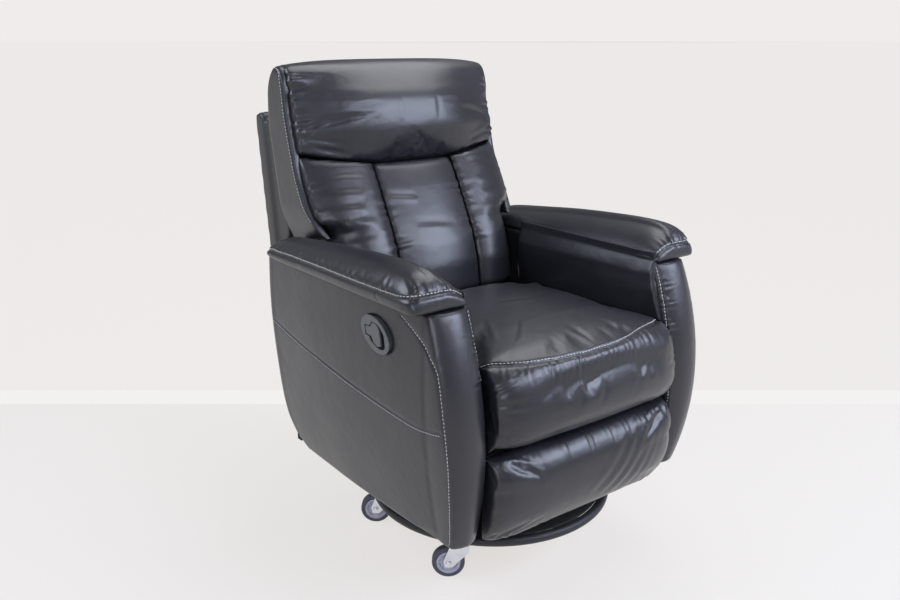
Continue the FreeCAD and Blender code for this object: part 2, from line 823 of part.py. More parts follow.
def seat_cushion():
    """Thick seat: crowned top, bowed front edge and a roll that hangs over the front rail."""
    stations = []
    for x, swell in swell_rows(seat_half_width, 2.6):
        full = 1.0 - abs(x / seat_half_width) ** 12
        top = 560.0 + 40.0 * swell
        edge = -292.0 - 60.0 * swell
        front = -336.0 - 26.0 * full - 11.0 * swell
        low = seat_front_low + 6.0 * (1 - full)
        stations.append([
            vec(x, -290, seat_floor), vec(x, -289, (seat_floor + low) / 2 + 6),
            vec(x, -290, low + 4), vec(x, -312, low - 1),
            vec(x, front + 26, low + 3), vec(x, front + 1, low + 44),
            vec(x, front, 486), vec(x, front + 1, 520),
            vec(x, front + (edge - front) * 0.2, 545), vec(x, front + (edge - front) * 0.5, 562 + 5 * swell),
            vec(x, edge, 574 + 9 * swell), vec(x, (edge - 200) / 2, (572 + 12 * swell + top) / 2 + 1),
            vec(x, -200, top - 2 + 3 * swell),
            vec(x, -60, top), vec(x, 70, top - 6),
            vec(x, 150, 548 + 16 * swell), vec(x, 166, 520),
            vec(x, 166, 488), vec(x, 163, seat_floor),
            vec(x, -60, seat_floor),
        ])
    return arc_loft(stations)


# The footrest linkage, drawn folded
def link_points():
    """Pivots of the folded linkage as y-z points."""
    angle = math.radians(link_rest_angle)
    s = math.sin(angle)
    c = math.cos(angle)
    length = link_length
    return {
        "main": forward(0, 0),
        "cross": forward(length * s / 2, -length * c / 2),
        "low_front": forward(length * s, -length * c),
        "low_rear": forward(0, -length * c),
        "high_front": forward(length * s, 0),
        "front_cross": forward(length * s * 1.5, -length * c / 2),
        "end": forward(2 * length * s, 0),
        "tilt_low": forward(length * s + tilt_crank * s, -tilt_crank * c),
        "tilt_high": forward(2 * length * s, -tilt_pin_drop),
    }


def rear_links():
    """Main links, hung from the seat plates and turned by the drive tube."""
    p = link_points()
    link = strap_plate(p["main"], p["low_front"], link_x, strap_half)
    link = hole(link, link_x, p["main"], stud_radius + running)
    link = stud_in(link, link_x, inner_link_x, p["cross"])
    link = stud_in(link, link_x, inner_link_x, p["low_front"])
    return both_sides(link)


def drive_tube():
    """Tube across the chair that turns both main links together."""
    y, z = forward(0, 0)
    tube = rod_x(-link_x, link_x, y, z, drive_tube_radius)
    return tube.cut(rod_x(-link_x - 1, link_x + 1, y, z, drive_tube_radius - drive_tube_wall))


def cross_links():
    """Links that cross the main links; their low ends ride in the seat plates' slots."""
    p = link_points()
    link = strap_plate(p["low_rear"], p["high_front"], inner_link_x, strap_half)
    link = hole(link, inner_link_x, p["cross"], stud_radius + running)
    link = stud_out(link, inner_link_x + strap, plate_x + strap, p["low_rear"])
    link = stud_out(link, inner_link_x + strap, link_x + strap, p["high_front"])
    return both_sides(link)


def carry_links():
    """Front links that carry the footrest."""
    p = link_points()
    link = strap_plate(p["low_front"], p["end"], inner_link_x, strap_half)
    link = hole(link, inner_link_x, p["low_front"], stud_radius + running)
    link = stud_out(link, inner_link_x + strap, link_x + strap, p["front_cross"])
    link = stud_out(link, inner_link_x + strap, plate_x + strap, p["end"])
    return both_sides(link)


def front_links():
    """Front crossing links, with the crank end for the tilt link."""
    p = link_points()
    link = strap_plate(p["high_front"], p["tilt_low"], link_x, strap_half)
    link = hole(link, link_x, p["high_front"], stud_radius + running)
    link = hole(link, link_x, p["front_cross"], stud_radius + running)
    link = stud_out(link, link_x + strap, rail_x + strap, p["tilt_low"], 6.0)
    return both_sides(link)


def tilt_links():
    """Short links that turn the footrest up as it comes out."""
    p = link_points()
    link = strap_plate(p["tilt_low"], p["tilt_high"], rail_x, strap_half)
    link = hole(link, rail_x, p["tilt_low"], stud_radius + running)
    link = hole(link, rail_x, p["tilt_high"], stud_radius + open_slack)
    return both_sides(link)


# The footrest
def footrest_brackets():
    """Angle brackets between the linkage and the footrest board."""
    p = link_points()
    end = p["end"]
    face_y = end[0] - 17.0
    outline = [
        (face_y, end[1] - 82), (face_y, end[1] + 4), (end[0] - 5, end[1] + 10), (end[0] + 5, end[1] + 9),
        (end[0] + 10, end[1] + 3), (end[0] + 10, end[1] - 31), (end[0] + 4, end[1] - 37),
        (face_y + 3, end[1] - 82),
    ]
    bracket = polygon_plate(outline, plate_x, strap)
    bracket = hole(bracket, plate_x, end, stud_radius + running)
    flange = block(plate_x - 30, plate_x + strap, face_y, face_y + 3, end[1] - 82, end[1] + 4)
    bracket = bracket.fuse(flange)
    bracket = stud_out(bracket, plate_x + strap, rail_x + strap, p["tilt_high"], 8.5)
    return both_sides(bracket)


def footrest_face_y():
    return link_points()["end"][0] - 17.0


def footrest_board():
    y1 = footrest_face_y()
    return block(-252, 252, y1 - 12, y1, footrest_low + 8, footrest_top - 5)


def footrest_cushion():
    """Padded footrest, rounded at its long edges and slightly crowned."""
    stations = []
    back = footrest_face_y() - 12 - seated
    for x, swell in swell_rows(footrest_half_width, 12.0):
        deep = -332.0 - 18.0 * swell - 5.0 * (1 - (x / footrest_half_width) ** 2)
        top = footrest_top - 4 * (1 - swell)
        low = footrest_low + 4 * (1 - swell)
        stations.append([
            vec(x, back, low + 4), vec(x, back - 8, low),
            vec(x, deep + 34, low + 4), vec(x, deep + 10, low + 50),
            vec(x, deep, 318), vec(x, deep + 4, top - 26),
            vec(x, deep + 20, top - 5), vec(x, back - 12, top + 1),
            vec(x, back, top - 4), vec(x, back, 300),
        ])
    return arc_loft(stations)


# The back
def back_plane_y(z):
    """Front plane of the back's frame."""
    return 330.0 + (z - 470.0) * 0.249


def slab_plane_y(z):
    """Front plane of the outer back panel."""
    return 541.0 + (z - 1000.0) * 0.1287


def back_frame():
    """Two profiled side boards joined by cross rails."""
    outline = [
        (back_plane_y(472), 472), (back_plane_y(975), 975), (slab_plane_y(985) - seated, 985),
        (slab_plane_y(602) - seated, 602), (372, 600), (362, 472),
    ]
    board = polygon_plate(outline, link_x - 26, 26.0)
    hollow = polygon_plate([(445, 890), (490, 905), (462, 680), (412, 690)], link_x - 30, 40.0)
    board = board.cut(hollow)
    boards = [board, mirrored(board)]
    half = link_x - 26
    for z in (486.0, 600.0, 935.0):
        y0 = back_plane_y(z + 40) + 1
        boards.append(block(-half, half, y0, y0 + 22, z, z + 40))
    return boards[0].fuse(boards[1:]).removeSplitter()


def back_brackets():
    """Steel plates on the side boards: pivot hole above, slotted crank hole below."""
    outline = [
        (290, 418), (310, 418), (314, 430), (316, 500), (372, 560),
        (back_plane_y(700) + 28, 700), (back_plane_y(700) + 4, 700), (back_plane_y(556) + 3, 556),
        (322, 546), (288, 545), (286, 430),
    ]
    bracket = polygon_plate(outline, link_x, strap)
    bracket = hole(bracket, link_x, (back_pivot_y, back_pivot_z), stud_radius + running)
    crank_z = back_pivot_z - back_crank
    tool = slot_tool(
        (back_pivot_y, crank_z - 0.5), (back_pivot_y, crank_z + 4.5),
        link_x - 1, link_x + strap + 1, stud_radius + 0.5)
    return both_sides(bracket.cut(tool))


def lumbar_row(z):
    """Front outline of the lumbar cushions."""
    rows = [(557.0, 172.0), (620.0, 184.0), (690.0, 203.0), (745.0, 229.0), (818.0, 268.0), (890.0, 306.0)]
    for (z0, y0), (z1, y1) in zip(rows, rows[1:]):
        if z <= z1:
            return y0 + (y1 - y0) * (z - z0) / (z1 - z0)
    return rows[-1][1]


def lumbar_channel(inner, low_outer, high_outer, crown, spread, seam_top):
    """One upright channel of the back, from seam to seam, swelling forwards."""
    stations = []
    rows = [
        (back_low, 0.55, 16.0), (back_low + 18, 0.85, 3.0), (640.0, 1.0, 0.0), (700.0, 1.0, 0.0),
        (shoulder_z - 18, 1.0, 0.0), (shoulder_z + 2, 1.0, 0.0), (835.0, 1.0, 0.0),
        (seam_top - 22, 0.8, 3.0), (seam_top, 0.4, 24.0),
    ]
    for z, swell, pull in rows:
        outer = high_outer if z > shoulder_z else low_outer
        seam = lumbar_row(z) + pull + 6
        back = back_plane_y(z) - seated
        front = []
        for share in (0.0, 0.12, 0.3, 0.55, 0.78, 0.93, 1.0):
            rise = crown * swell * (1 - abs(2 * share - 1) ** 2.4)
            front.append(vec(inner + (outer - inner) * share, seam + spread * share ** 2 - rise, z))
        inner_side = vec(inner, (back + front[0].y) / 2, z)
        outer_side = vec(outer, (back + front[-1].y) / 2, z)
        rear = [outer_side, vec(outer, back, z), vec((inner + outer) / 2, back, z)]
        stations.append([vec(inner, back, z), inner_side] + front + rear)
    return under_head(arc_loft(stations, True))


def under_head(channel):
    """The channel without what the head cushion takes up."""
    head = head_cushion()
    head.translate(vec(0, 0, -seated))
    return max(channel.cut(head).Solids, key=lambda solid: solid.Volume)


def lumbar_side(side):
    shape = lumbar_channel(lumbar_seam_x + seated, 257.0, back_half_width, 20.0, 40.0, 915.0)
    return shape if side > 0 else mirrored(shape)


def lumbar_centre():
    return lumbar_channel(-lumbar_seam_x, lumbar_seam_x, lumbar_seam_x, 18.0, 0.0, 900.0)


def head_cushion():
    """Deep head roll that hooks over the top of the frame and sags in the middle."""
    stations = []
    for x, swell in swell_rows(back_half_width, 3.4):
        full = 1.0 - abs(x / back_half_width) ** 8
        low = 912.0 - 30.0 * swell
        top = 1118.0 + 5.0 * full + 8.0 * swell
        stations.append([
            vec(x, back_plane_y(low) - seated, low), vec(x, 395, low - 2),
            vec(x, 357 - 60 * swell, low + 12), vec(x, 362 - 72 * swell, low + 44),
            vec(x, 373 - 66 * swell, 990), vec(x, 386 - 50 * swell, 1040),
            vec(x, 397 - 26 * swell, top - 22), vec(x, 412 - 14 * swell, top - 4),
            vec(x, 440, top), vec(x, 470, top - 9),
            vec(x, 486, 1070), vec(x, 488, 1015),
            vec(x, 482, 992), vec(x, 470, 987.5),
            vec(x, back_plane_y(975) - seated, 975), vec(x, back_plane_y(940) - seated, 940),
        ])
    return arc_loft(stations)


def back_side(side):
    """Side boxing of the back above the arm."""
    outline = [
        (268.0, 746.0), (294.0, 772.0), (334.0, 832.0), (353.0, 872.0),
        (368.0, 922.0), (385.0, 983.0), (397.0, 1040.0), (403.0, 1088.0),
        (414.0, 1110.0), (434.0, 1119.0), (458.0, 1110.0), (477.0, 1084.0),
        (486.0, 1040.0), (487.0, 989.0), (474.0, 915.0), (461.0, 847.0), (447.0, 780.0),
        (443.0, 752.0), (437.0, 726.0), (405.0, 722.0), (372.0, 728.0), (330.0, 740.0),
    ]
    x0 = back_half_width + seated
    centre_y = 410.0
    centre_z = 930.0
    stations = []
    for x, size in ((x0, 0.985), (x0 + 8, 1.0), (x0 + 18, 0.985), (x0 + 23, 0.93)):
        points = []
        for y, z in outline:
            points.append(vec(x, centre_y + (y - centre_y) * size, centre_z + (z - centre_z) * size))
        stations.append(points)
    shape = arc_loft(stations)
    return shape if side > 0 else mirrored(shape)


def outer_back_panel():
    """Padded slab behind the back, standing on its frame."""
    stations = []
    for x, swell in swell_rows(296.0, 6.0):
        deep = 40.0 + 10.0 * swell
        inset = 6.0 * (1 - swell)
        low = 500.0 + inset
        high = 1004.0 - inset
        stations.append([
            vec(x, slab_plane_y(low), low), vec(x, slab_plane_y(low) + deep / 2, low - 5),
            vec(x, slab_plane_y(low) + deep, low + 6), vec(x, slab_plane_y(750) + deep + 3, 750),
            vec(x, slab_plane_y(high) + deep, high - 6), vec(x, slab_plane_y(high) + deep / 2, high + 4),
            vec(x, slab_plane_y(high), high), vec(x, slab_plane_y(750), 750),
        ])
    shape = arc_loft(stations)
    return_outline = [
        (491, 985), (478, 915), (465, 847), (451, 780), (440, 722), (452, 690), (470, 650), (488, 606),
        (slab_plane_y(606) + 12, 606), (slab_plane_y(985) + 12, 985),
    ]
    side_return = polygon_plate(return_outline, back_half_width - 18, 22.0)
    return shape.fuse([side_return, mirrored(side_return)])


def build():
    """Every named node of the chair."""
    nodes = {
        "roller_board": roller_board(),
        "castor_plates": castor_plates(),
        "castor_screws": castor_screws(),
        "base_ring": base_ring(),
        "ring_cover": ring_cover(),
        "board_bolts": board_bolts(),
        "swivel_post": swivel_post(),
        "bearing_race": bearing_race(),
        "kingpin": kingpin(),
        "bearing_plate": bearing_plate_part(),
        "box_rails": box_rails(),
        "box_bolts": box_bolts(),
        "dust_cover": dust_cover(),
        "rear_lower_panel": rear_lower_panel(),
        "lever_bezel": lever_bezel(),
        "lever_paddle": lever_paddle(),
        "slide_rails": slide_rails(),
        "mechanism_plates": mechanism_plates(),
        "seat_frame": seat_frame(),
        "seat_webbing": seat_webbing(),
        "seat_cushion": seat_cushion(),
        "rear_links": rear_links(),
        "drive_tube": drive_tube(),
        "cross_links": cross_links(),
        "carry_links": carry_links(),
        "front_links": front_links(),
        "tilt_links": tilt_links(),
        "footrest_brackets": footrest_brackets(),
        "footrest_board": footrest_board(),
        "footrest_cushion": footrest_cushion(),
        "back_frame": back_frame(),
        "back_brackets": back_brackets(),
        "lumbar_centre": lumbar_centre(),
        "head_cushion": head_cushion(),
        "outer_back_panel": outer_back_panel(),
    }
    for corner, (x, y) in castor_places().items():
        nodes["castor_fork_" + corner] = castor_fork(x, y)
        nodes["castor_hub_" + corner] = castor_hub(x, y)
        nodes["castor_tyre_" + corner] = castor_tyre(x, y)
    for name, side in (("left", -1), ("right", 1)):
        nodes["arm_frame_" + name] = arm_frame(side)
        nodes["arm_body_" + name] = arm_body(side)
        nodes["arm_front_" + name] = arm_front(side)
        nodes["arm_pad_" + name] = arm_pad(side)
        nodes["lumbar_" + name] = lumbar_side(side)
        nodes["back_side_" + name] = back_side(side)
    return nodes


def main():
    os.makedirs("parts", exist_ok=True)
    low = [1e9, 1e9, 1e9]
    high = [-1e9, -1e9, -1e9]
    for name, shape in build().items():
        shape.translate(vec(0, swivel_y, 0))
        bound = shape.optimalBoundingBox()
        low = [min(low[0], bound.XMin), min(low[1], bound.YMin), min(low[2], bound.ZMin)]
        high = [max(high[0], bound.XMax), max(high[1], bound.YMax), max(high[2], bound.ZMax)]
        state = "ok" if shape.isValid() else "INVALID"
        print(name, len(shape.Solids), "solids", round(shape.Volume / 1000, 1), "cm3", state)
        shape.exportStep("parts/" + name + ".step")
    print("low", [round(v, 2) for v in low], "high", [round(v, 2) for v in high])


main()
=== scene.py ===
# %% [markdown]
# A swivel recliner in black leather, on a ring base and a castor board.
# The rigid parts come from the CAD model, already in place. This lesson adds the looks:
# leather cushions with seams and stitches, and a finish for every part.
# The first cell loads the CAD parts.

# %% Load the CAD frame
import math
import bpy
import numpy as np
from mathutils import Matrix, Vector
from mathutils.bvhtree import BVHTree


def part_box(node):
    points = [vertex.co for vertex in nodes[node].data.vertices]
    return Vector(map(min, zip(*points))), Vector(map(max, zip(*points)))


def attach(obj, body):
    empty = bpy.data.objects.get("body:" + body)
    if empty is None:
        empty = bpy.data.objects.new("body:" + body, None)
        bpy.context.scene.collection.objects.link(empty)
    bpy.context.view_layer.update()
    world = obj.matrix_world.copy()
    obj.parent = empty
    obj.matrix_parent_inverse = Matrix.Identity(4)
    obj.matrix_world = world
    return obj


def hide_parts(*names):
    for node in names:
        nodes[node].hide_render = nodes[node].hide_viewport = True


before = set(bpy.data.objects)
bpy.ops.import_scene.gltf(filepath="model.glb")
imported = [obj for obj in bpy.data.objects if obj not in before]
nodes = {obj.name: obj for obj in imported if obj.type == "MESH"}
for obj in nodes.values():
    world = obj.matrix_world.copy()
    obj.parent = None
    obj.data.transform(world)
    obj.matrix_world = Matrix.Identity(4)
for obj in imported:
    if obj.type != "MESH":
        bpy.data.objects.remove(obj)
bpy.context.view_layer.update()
corners = ["front_left", "front_right", "rear_left", "rear_right"]

# %% [markdown]
# Measures are taken from the frame, so that the looks follow the model if it changes.
# The swivel axis is the middle of the ring. The drawing of the chair was made about that
# axis, so the helper `place` turns a width, a depth from the axis and a height in
# millimetres into a point in the frame.

# %% Places on the chair
ring_low, ring_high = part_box("base_ring")
swivel_y = (ring_low.y + ring_high.y) / 2
seat_low, seat_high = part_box("seat_cushion")
pad_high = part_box("arm_pad_right")[1]


def place(x, y, z):
    """A point from millimetres about the swivel axis."""
    return Vector((x / 1000.0, y / 1000.0 + swivel_y, z / 1000.0))


print("swivel axis y %.4f, seat top %.3f, arm lip %.3f" % (swivel_y, seat_high.z, pad_high.x))

# %% [markdown]
# The camera stands to the front and left of the chair, at about head height of a seated
# person, and looks a little down. Its place and lens were found by matching corners of the
# arms, seat and back. A camera in Blender looks along its own -Z axis, so the rotation is
# built from the three directions right, up and backwards.

# %% Camera
camera_place = Vector((-1.2749, -1.5024 + swivel_y, 1.1768))
turn_to_right = math.radians(37.459)
look_down = math.radians(16.480)
ahead = Vector((
    math.sin(turn_to_right) * math.cos(look_down),
    math.cos(turn_to_right) * math.cos(look_down),
    -math.sin(look_down)))
right = Vector((math.cos(turn_to_right), -math.sin(turn_to_right), 0.0))
upward = right.cross(ahead)
camera_data = bpy.data.cameras.new("photo_camera")
camera_data.sensor_width = 36.0
camera_data.lens = 35.23
camera = bpy.data.objects.new("photo_camera", camera_data)
turning = Matrix((right, upward, -ahead)).transposed()
camera.matrix_world = Matrix.Translation(camera_place) @ turning.to_4x4()
bpy.context.scene.collection.objects.link(camera)
bpy.context.scene.camera = camera
bpy.context.scene.view_settings.view_transform = "Standard"
print("camera at", tuple(round(v, 3) for v in camera_place), "lens", camera_data.lens)

# %% [markdown]
# Shader sums are easier to read as Python expressions. `Wire` wraps one output socket, and
# its operators add Math nodes. `Graph` is a node tree: its method `node` makes a node from a
# type, settings and inputs. `Finish` is the graph of a material with one principled shader.

# %% Shader expressions
class Wire:
    """A number, colour or vector that comes out of a node."""

    def __init__(self, graph, socket):
        self.graph = graph
        self.socket = socket

    def combine(self, operation, first, second):
        return self.graph.node("ShaderNodeMath", {"operation": operation}, {0: first, 1: second})

    def most(self, other):
        return self.combine("MAXIMUM", self, other)

    def __add__(self, other):
        return self.combine("ADD", self, other)

    __radd__ = __add__

    def __rsub__(self, other):
        return self.combine("SUBTRACT", other, self)

    def __mul__(self, other):
        return self.combine("MULTIPLY", self, other)

    __rmul__ = __mul__


class Graph:
    """A node tree, built up node by node."""

    def __init__(self, tree):
        self.tree = tree

    def node(self, kind, settings=None, inputs=None, output=0):
        """One node: its settings first, then the values or links of its sockets."""
        made = self.tree.nodes.new(kind)
        for label, value in (settings or {}).items():
            setattr(made, label, value)
        for label, value in (inputs or {}).items():
            self.feed(made.inputs[label], value)
        return Wire(self, made.outputs[output])

    def feed(self, socket, value):
        """Put a number, a colour or another node's output on a socket."""
        if isinstance(value, Wire):
            self.tree.links.new(value.socket, socket)
        else:
            socket.default_value = value

    def rays(self, *labels):
        """A value that is 1 for rays of the given kinds."""
        kinds = [self.node("ShaderNodeLightPath", output=label) for label in labels]
        value = kinds[0]
        for kind in kinds[1:]:
            value = value.most(kind)
        return value

    def show(self, share, usual, seen, output):
        """Send a share of the rays to a second shader."""
        mixed = self.node("ShaderNodeMixShader", {}, {0: share, 1: usual, 2: seen})
        self.feed(self.tree.nodes[output].inputs["Surface"], mixed)


class Finish(Graph):
    """A material with a principled shader."""

    def __init__(self, name, **constants):
        self.material = bpy.data.materials.new(name)
        self.material.use_nodes = True
        super().__init__(self.material.node_tree)
        self.shader = self.tree.nodes["Principled BSDF"]
        for label, value in constants.items():
            self.shader.inputs[label.replace("_", " ")].default_value = value

    def set(self, label, value):
        self.feed(self.shader.inputs[label], value)

    def blend(self, factor, low, high):
        """A colour between two colours."""
        return self.node(
            "ShaderNodeMix", {"data_type": "RGBA"}, {0: factor, 6: low, 7: high}, output=2)

    def spots(self, size, stretch=(1.0, 1.0, 1.0), detail=2.0):
        """Soft noise from 0 to 1, with features of about a size in metres."""
        return self.node(
            "ShaderNodeTexNoise", {},
            {"Vector": self.spread(stretch), "Scale": 1.0 / size, "Detail": detail})

    def spread(self, stretch=(1.0, 1.0, 1.0)):
        """Coordinates of the piece itself, in metres, stretched by axis."""
        here = self.node("ShaderNodeTexCoord", output=3)
        return self.node("ShaderNodeVectorMath", {"operation": "MULTIPLY"}, {0: here, 1: stretch})

    def emboss(self, height, distance, strength=1.0, base=None):
        """A bump that raises the surface by a distance in metres where the height is 1."""
        inputs = {"Height": height, "Distance": distance, "Strength": strength}
        if base is not None:
            inputs["Normal"] = base
        return self.node("ShaderNodeBump", {}, inputs)


print("shader helpers ready")

# %% [markdown]
# Upholstery leather has a pebbled grain of a millimetre or two, broader soft creases, and a
# thin glossy top coat that is duller where it has been rubbed. Voronoi cells give the grain,
# two sizes of noise give the creases and the patches of gloss. The `seam` attribute, painted
# on the mesh later, darkens the fold beside each seam as painted shade.

# %% Leather
def leather(name, dark, light, gloss, grain_depth):
    """Grained leather between two tones."""
    cells_per_metre, patch_size, crease_size, crease_depth = 620.0, 0.16, 0.035, 0.0022
    finish = Finish(name, Coat_Roughness=0.28, Specular_IOR_Level=0.5)
    cells = finish.node(
        "ShaderNodeTexVoronoi", {"feature": "F1"},
        {"Vector": finish.spread(), "Scale": cells_per_metre, "Randomness": 0.9})
    patches = finish.spots(patch_size)
    creases = finish.spots(crease_size, detail=4.0)
    seam = finish.node("ShaderNodeAttribute", {"attribute_name": "seam"}, output=2)
    colour = finish.blend(patches * 0.65 + cells * 0.35, dark, light)
    # Painted shade: beside each seam the colour is darkened towards a third of the dark tone.
    seam_shade = tuple(0.35 * c for c in dark[:3]) + (1.0,)
    finish.set("Base Color", finish.blend(seam * 0.75, colour, seam_shade))
    finish.set("Roughness", gloss + 0.16 * patches + 0.06 * cells + 0.12 * seam)
    finish.set("Coat Weight", 0.42 - 0.22 * patches)
    wrinkles = finish.emboss(creases, crease_depth, 0.55)
    finish.set("Normal", finish.emboss(1.0 - cells, grain_depth, 0.5, wrinkles))
    return finish.material


black_leather = leather(
    "black_leather", (0.008, 0.008, 0.011, 1), (0.022, 0.022, 0.029, 1), 0.25, 0.00020)
side_leather = leather(
    "side_leather", (0.020, 0.020, 0.021, 1), (0.036, 0.035, 0.036, 1), 0.42, 0.00018)
print("leather finishes:", black_leather.name, side_leather.name)

# %% [markdown]
# Thread is pale polyester. A fine wave paints shade in bands between its plies.

# %% Thread
def thread_finish():
    """Pale thread with painted shade in bands between its plies."""
    waves_per_metre = 420.0
    finish = Finish("pale_thread", Roughness=0.6, Specular_IOR_Level=0.35)
    plies = finish.node(
        "ShaderNodeTexWave", {"wave_type": "BANDS", "bands_direction": "DIAGONAL"},
        {"Vector": finish.spread(), "Scale": waves_per_metre})
    # Painted shade: the wave bands darken the pale colour in the grooves between the plies.
    finish.set("Base Color", finish.blend(plies, (0.42, 0.42, 0.42, 1), (0.74, 0.74, 0.72, 1)))
    return finish.material


pale_thread = thread_finish()
print("thread finish ready")

# %% [markdown]
# Plywood shows long grain on its faces and stacked plies on its edges. The edge layers are
# a wave along the height, the face grain is noise stretched along the board.

# %% Wood
def wood(name, pale, tan, ply):
    """Raw wood with long grain, and ply lines along Z where asked."""
    waves_per_metre = 108.0
    finish = Finish(name, Specular_IOR_Level=0.3)
    grain = finish.spots(0.012, (0.08, 1.0, 1.0), detail=6.0)
    flecks = finish.spots(0.004, (0.15, 1.0, 1.0))
    layers = finish.node(
        "ShaderNodeTexWave", {"wave_type": "BANDS", "bands_direction": "Z"},
        {"Vector": finish.spread(), "Scale": waves_per_metre, "Distortion": 0.6, "Detail Scale": 2.0})
    finish.set("Base Color", finish.blend(grain * (1.0 - ply) + layers * ply, pale, tan))
    finish.set("Roughness", 0.55 + 0.25 * flecks)
    finish.set("Normal", finish.emboss(grain + 0.5 * flecks, 0.0004, 0.6))
    return finish.material


plywood = wood("plywood", (0.62, 0.42, 0.23, 1), (0.36, 0.21, 0.10, 1), 0.45)
frame_wood = wood("frame_wood", (0.60, 0.43, 0.26, 1), (0.42, 0.27, 0.14, 1), 0.1)
print("wood finishes ready")

# %% [markdown]
# Metal parts differ in how they were treated: zinc plating is pale with faint spangles,
# the linkage is stamped steel under thin black paint with oily patches, and bearing steel
# is turned bright, with fine rings.

# %% Metals
def plated(name, colour, dull, roughness, metal):
    """Plated, painted or turned metal with a mottled sheen."""
    finish = Finish(name)
    cloud = finish.spots(0.018, detail=3.0)
    fine = finish.spots(0.0016)
    finish.set("Base Color", finish.blend(cloud, colour, dull))
    finish.set("Metallic", metal)
    finish.set("Roughness", roughness + 0.18 * cloud + 0.08 * fine)
    finish.set("Normal", finish.emboss(fine, 0.00012, 0.4))
    return finish.material


zinc = plated("zinc_plate", (0.80, 0.82, 0.85, 1), (0.62, 0.64, 0.68, 1), 0.24, 1.0)
linkage_paint = plated("linkage_paint", (0.022, 0.022, 0.024, 1), (0.045, 0.043, 0.042, 1), 0.34, 0.3)
ring_paint = plated("ring_paint", (0.012, 0.012, 0.014, 1), (0.022, 0.022, 0.025, 1), 0.38, 0.0)
bright_steel = plated("bright_steel", (0.62, 0.63, 0.65, 1), (0.45, 0.45, 0.47, 1), 0.22, 1.0)
print("metal finishes ready")

# %% [markdown]
# Castor wheels have a lilac-grey nylon centre and a darker grey tyre that picks up dust.
# The handle and its cup are moulded in dark grey plastic with a fine spark-eroded texture.
# The dust cloth is black non-woven felt.

# %% Plastic, tyre and cloth
def moulded(name, colour, pale, roughness, texture_size, depth):
    """Moulded plastic or rubber with a fine texture and faint dust."""
    finish = Finish(name)
    dust = finish.spots(0.02, detail=3.0)
    texture = finish.spots(texture_size)
    finish.set("Base Color", finish.blend(dust * 0.6, colour, pale))
    finish.set("Roughness", roughness + 0.15 * texture)
    finish.set("Normal", finish.emboss(texture, depth, 0.5))
    return finish.material


hub_plastic = moulded("hub_plastic", (0.50, 0.49, 0.58, 1), (0.62, 0.61, 0.68, 1), 0.35, 0.002, 0.0001)
tyre_rubber = moulded("tyre_rubber", (0.075, 0.075, 0.10, 1), (0.15, 0.15, 0.17, 1), 0.62, 0.0012, 0.0002)
handle_plastic = moulded(
    "handle_plastic", (0.10, 0.10, 0.105, 1), (0.15, 0.15, 0.155, 1), 0.34, 0.0008, 0.0001)
cloth_black = moulded(
    "dust_cloth", (0.010, 0.010, 0.011, 1), (0.028, 0.028, 0.030, 1), 0.72, 0.0025, 0.0006)
webbing = moulded("webbing", (0.09, 0.075, 0.055, 1), (0.16, 0.14, 0.11, 1), 0.8, 0.002, 0.0008)
print("plastic and cloth finishes ready")

# %% [markdown]
# The rigid CAD parts keep their meshes and only get a finish. Their material slots are
# filled by name, so each part is listed once under what it is made of. The frames of the
# seat, arms and footrest are wrapped in black lining cloth, as they show in narrow gaps.

# %% Finish of the rigid parts
dressed = []


def dress(names, material):
    """Give some CAD parts one finish."""
    for name in names:
        mesh = nodes[name].data
        mesh.materials.clear()
        mesh.materials.append(material)
    dressed.extend(names)


forks = ["castor_fork_" + corner for corner in corners]
hubs = ["castor_hub_" + corner for corner in corners]
tyres = ["castor_tyre_" + corner for corner in corners]
linkage = ["slide_rails", "mechanism_plates", "rear_links", "cross_links", "carry_links", "front_links",
           "tilt_links", "drive_tube", "footrest_brackets", "back_brackets", "swivel_post", "bearing_plate"]
dark_frames = ["seat_frame", "arm_frame_left", "arm_frame_right", "footrest_board"]
dress(["roller_board"], plywood)
dress(["box_rails", "back_frame"], frame_wood)
dress(["castor_plates", "castor_screws", "board_bolts", "box_bolts"] + forks, zinc)
dress(linkage, linkage_paint)
dress(["base_ring"], ring_paint)
dress(["bearing_race", "kingpin"], bright_steel)
dress(hubs, hub_plastic)
dress(tyres, tyre_rubber)
dress(["lever_bezel", "lever_paddle"], handle_plastic)
dress(["dust_cover"] + dark_frames, cloth_black)
dress(["seat_webbing"], webbing)
print("rigid parts dressed:", len(dressed))

# %% [markdown]
# Every cushion starts as its CAD solid, which has the right place and size but stiff faces.
# It is copied and remeshed into even quads. The fuller ones are blown up like a bag with
# Blender's Cloth, so that the leather swells. The swelling is capped, and walls that touch a
# neighbour are held back by limits.

# %% Soft copies
X, Y, Z = range(3)


def numbers_of(elements, label):
    """Triples of numbers of all elements of a mesh, as rows."""
    flat = np.empty(len(elements) * 3, dtype=np.float32)
    elements.foreach_get(label, flat)
    return flat.reshape(-1, 3).astype(float)


def coordinates(mesh):
    return numbers_of(mesh.vertices, "co")


def directions(mesh):
    return numbers_of(mesh.vertex_normals, "vector")


def move_to(mesh, points):
    mesh.vertices.foreach_set("co", points.astype(np.float32).ravel())
    mesh.update()


def new_mesh(name, points, faces):
    mesh = bpy.data.meshes.new(name)
    mesh.from_pydata(points, [], faces)
    return mesh


def shade_smooth(mesh):
    mesh.polygons.foreach_set("use_smooth", [True] * len(mesh.polygons))


def settle(piece):
    """Apply every modifier of a piece to its mesh."""
    graph = bpy.context.evaluated_depsgraph_get()
    done = bpy.data.meshes.new_from_object(piece.evaluated_get(graph))
    piece.modifiers.clear()
    old = piece.data
    piece.data = done
    bpy.data.meshes.remove(old)


def set_all(target, **settings):
    for label, value in settings.items():
        setattr(target, label, value)


def modify(piece, kind, **settings):
    """Apply one modifier to a piece."""
    set_all(piece.modifiers.new(kind, kind), **settings)
    settle(piece)


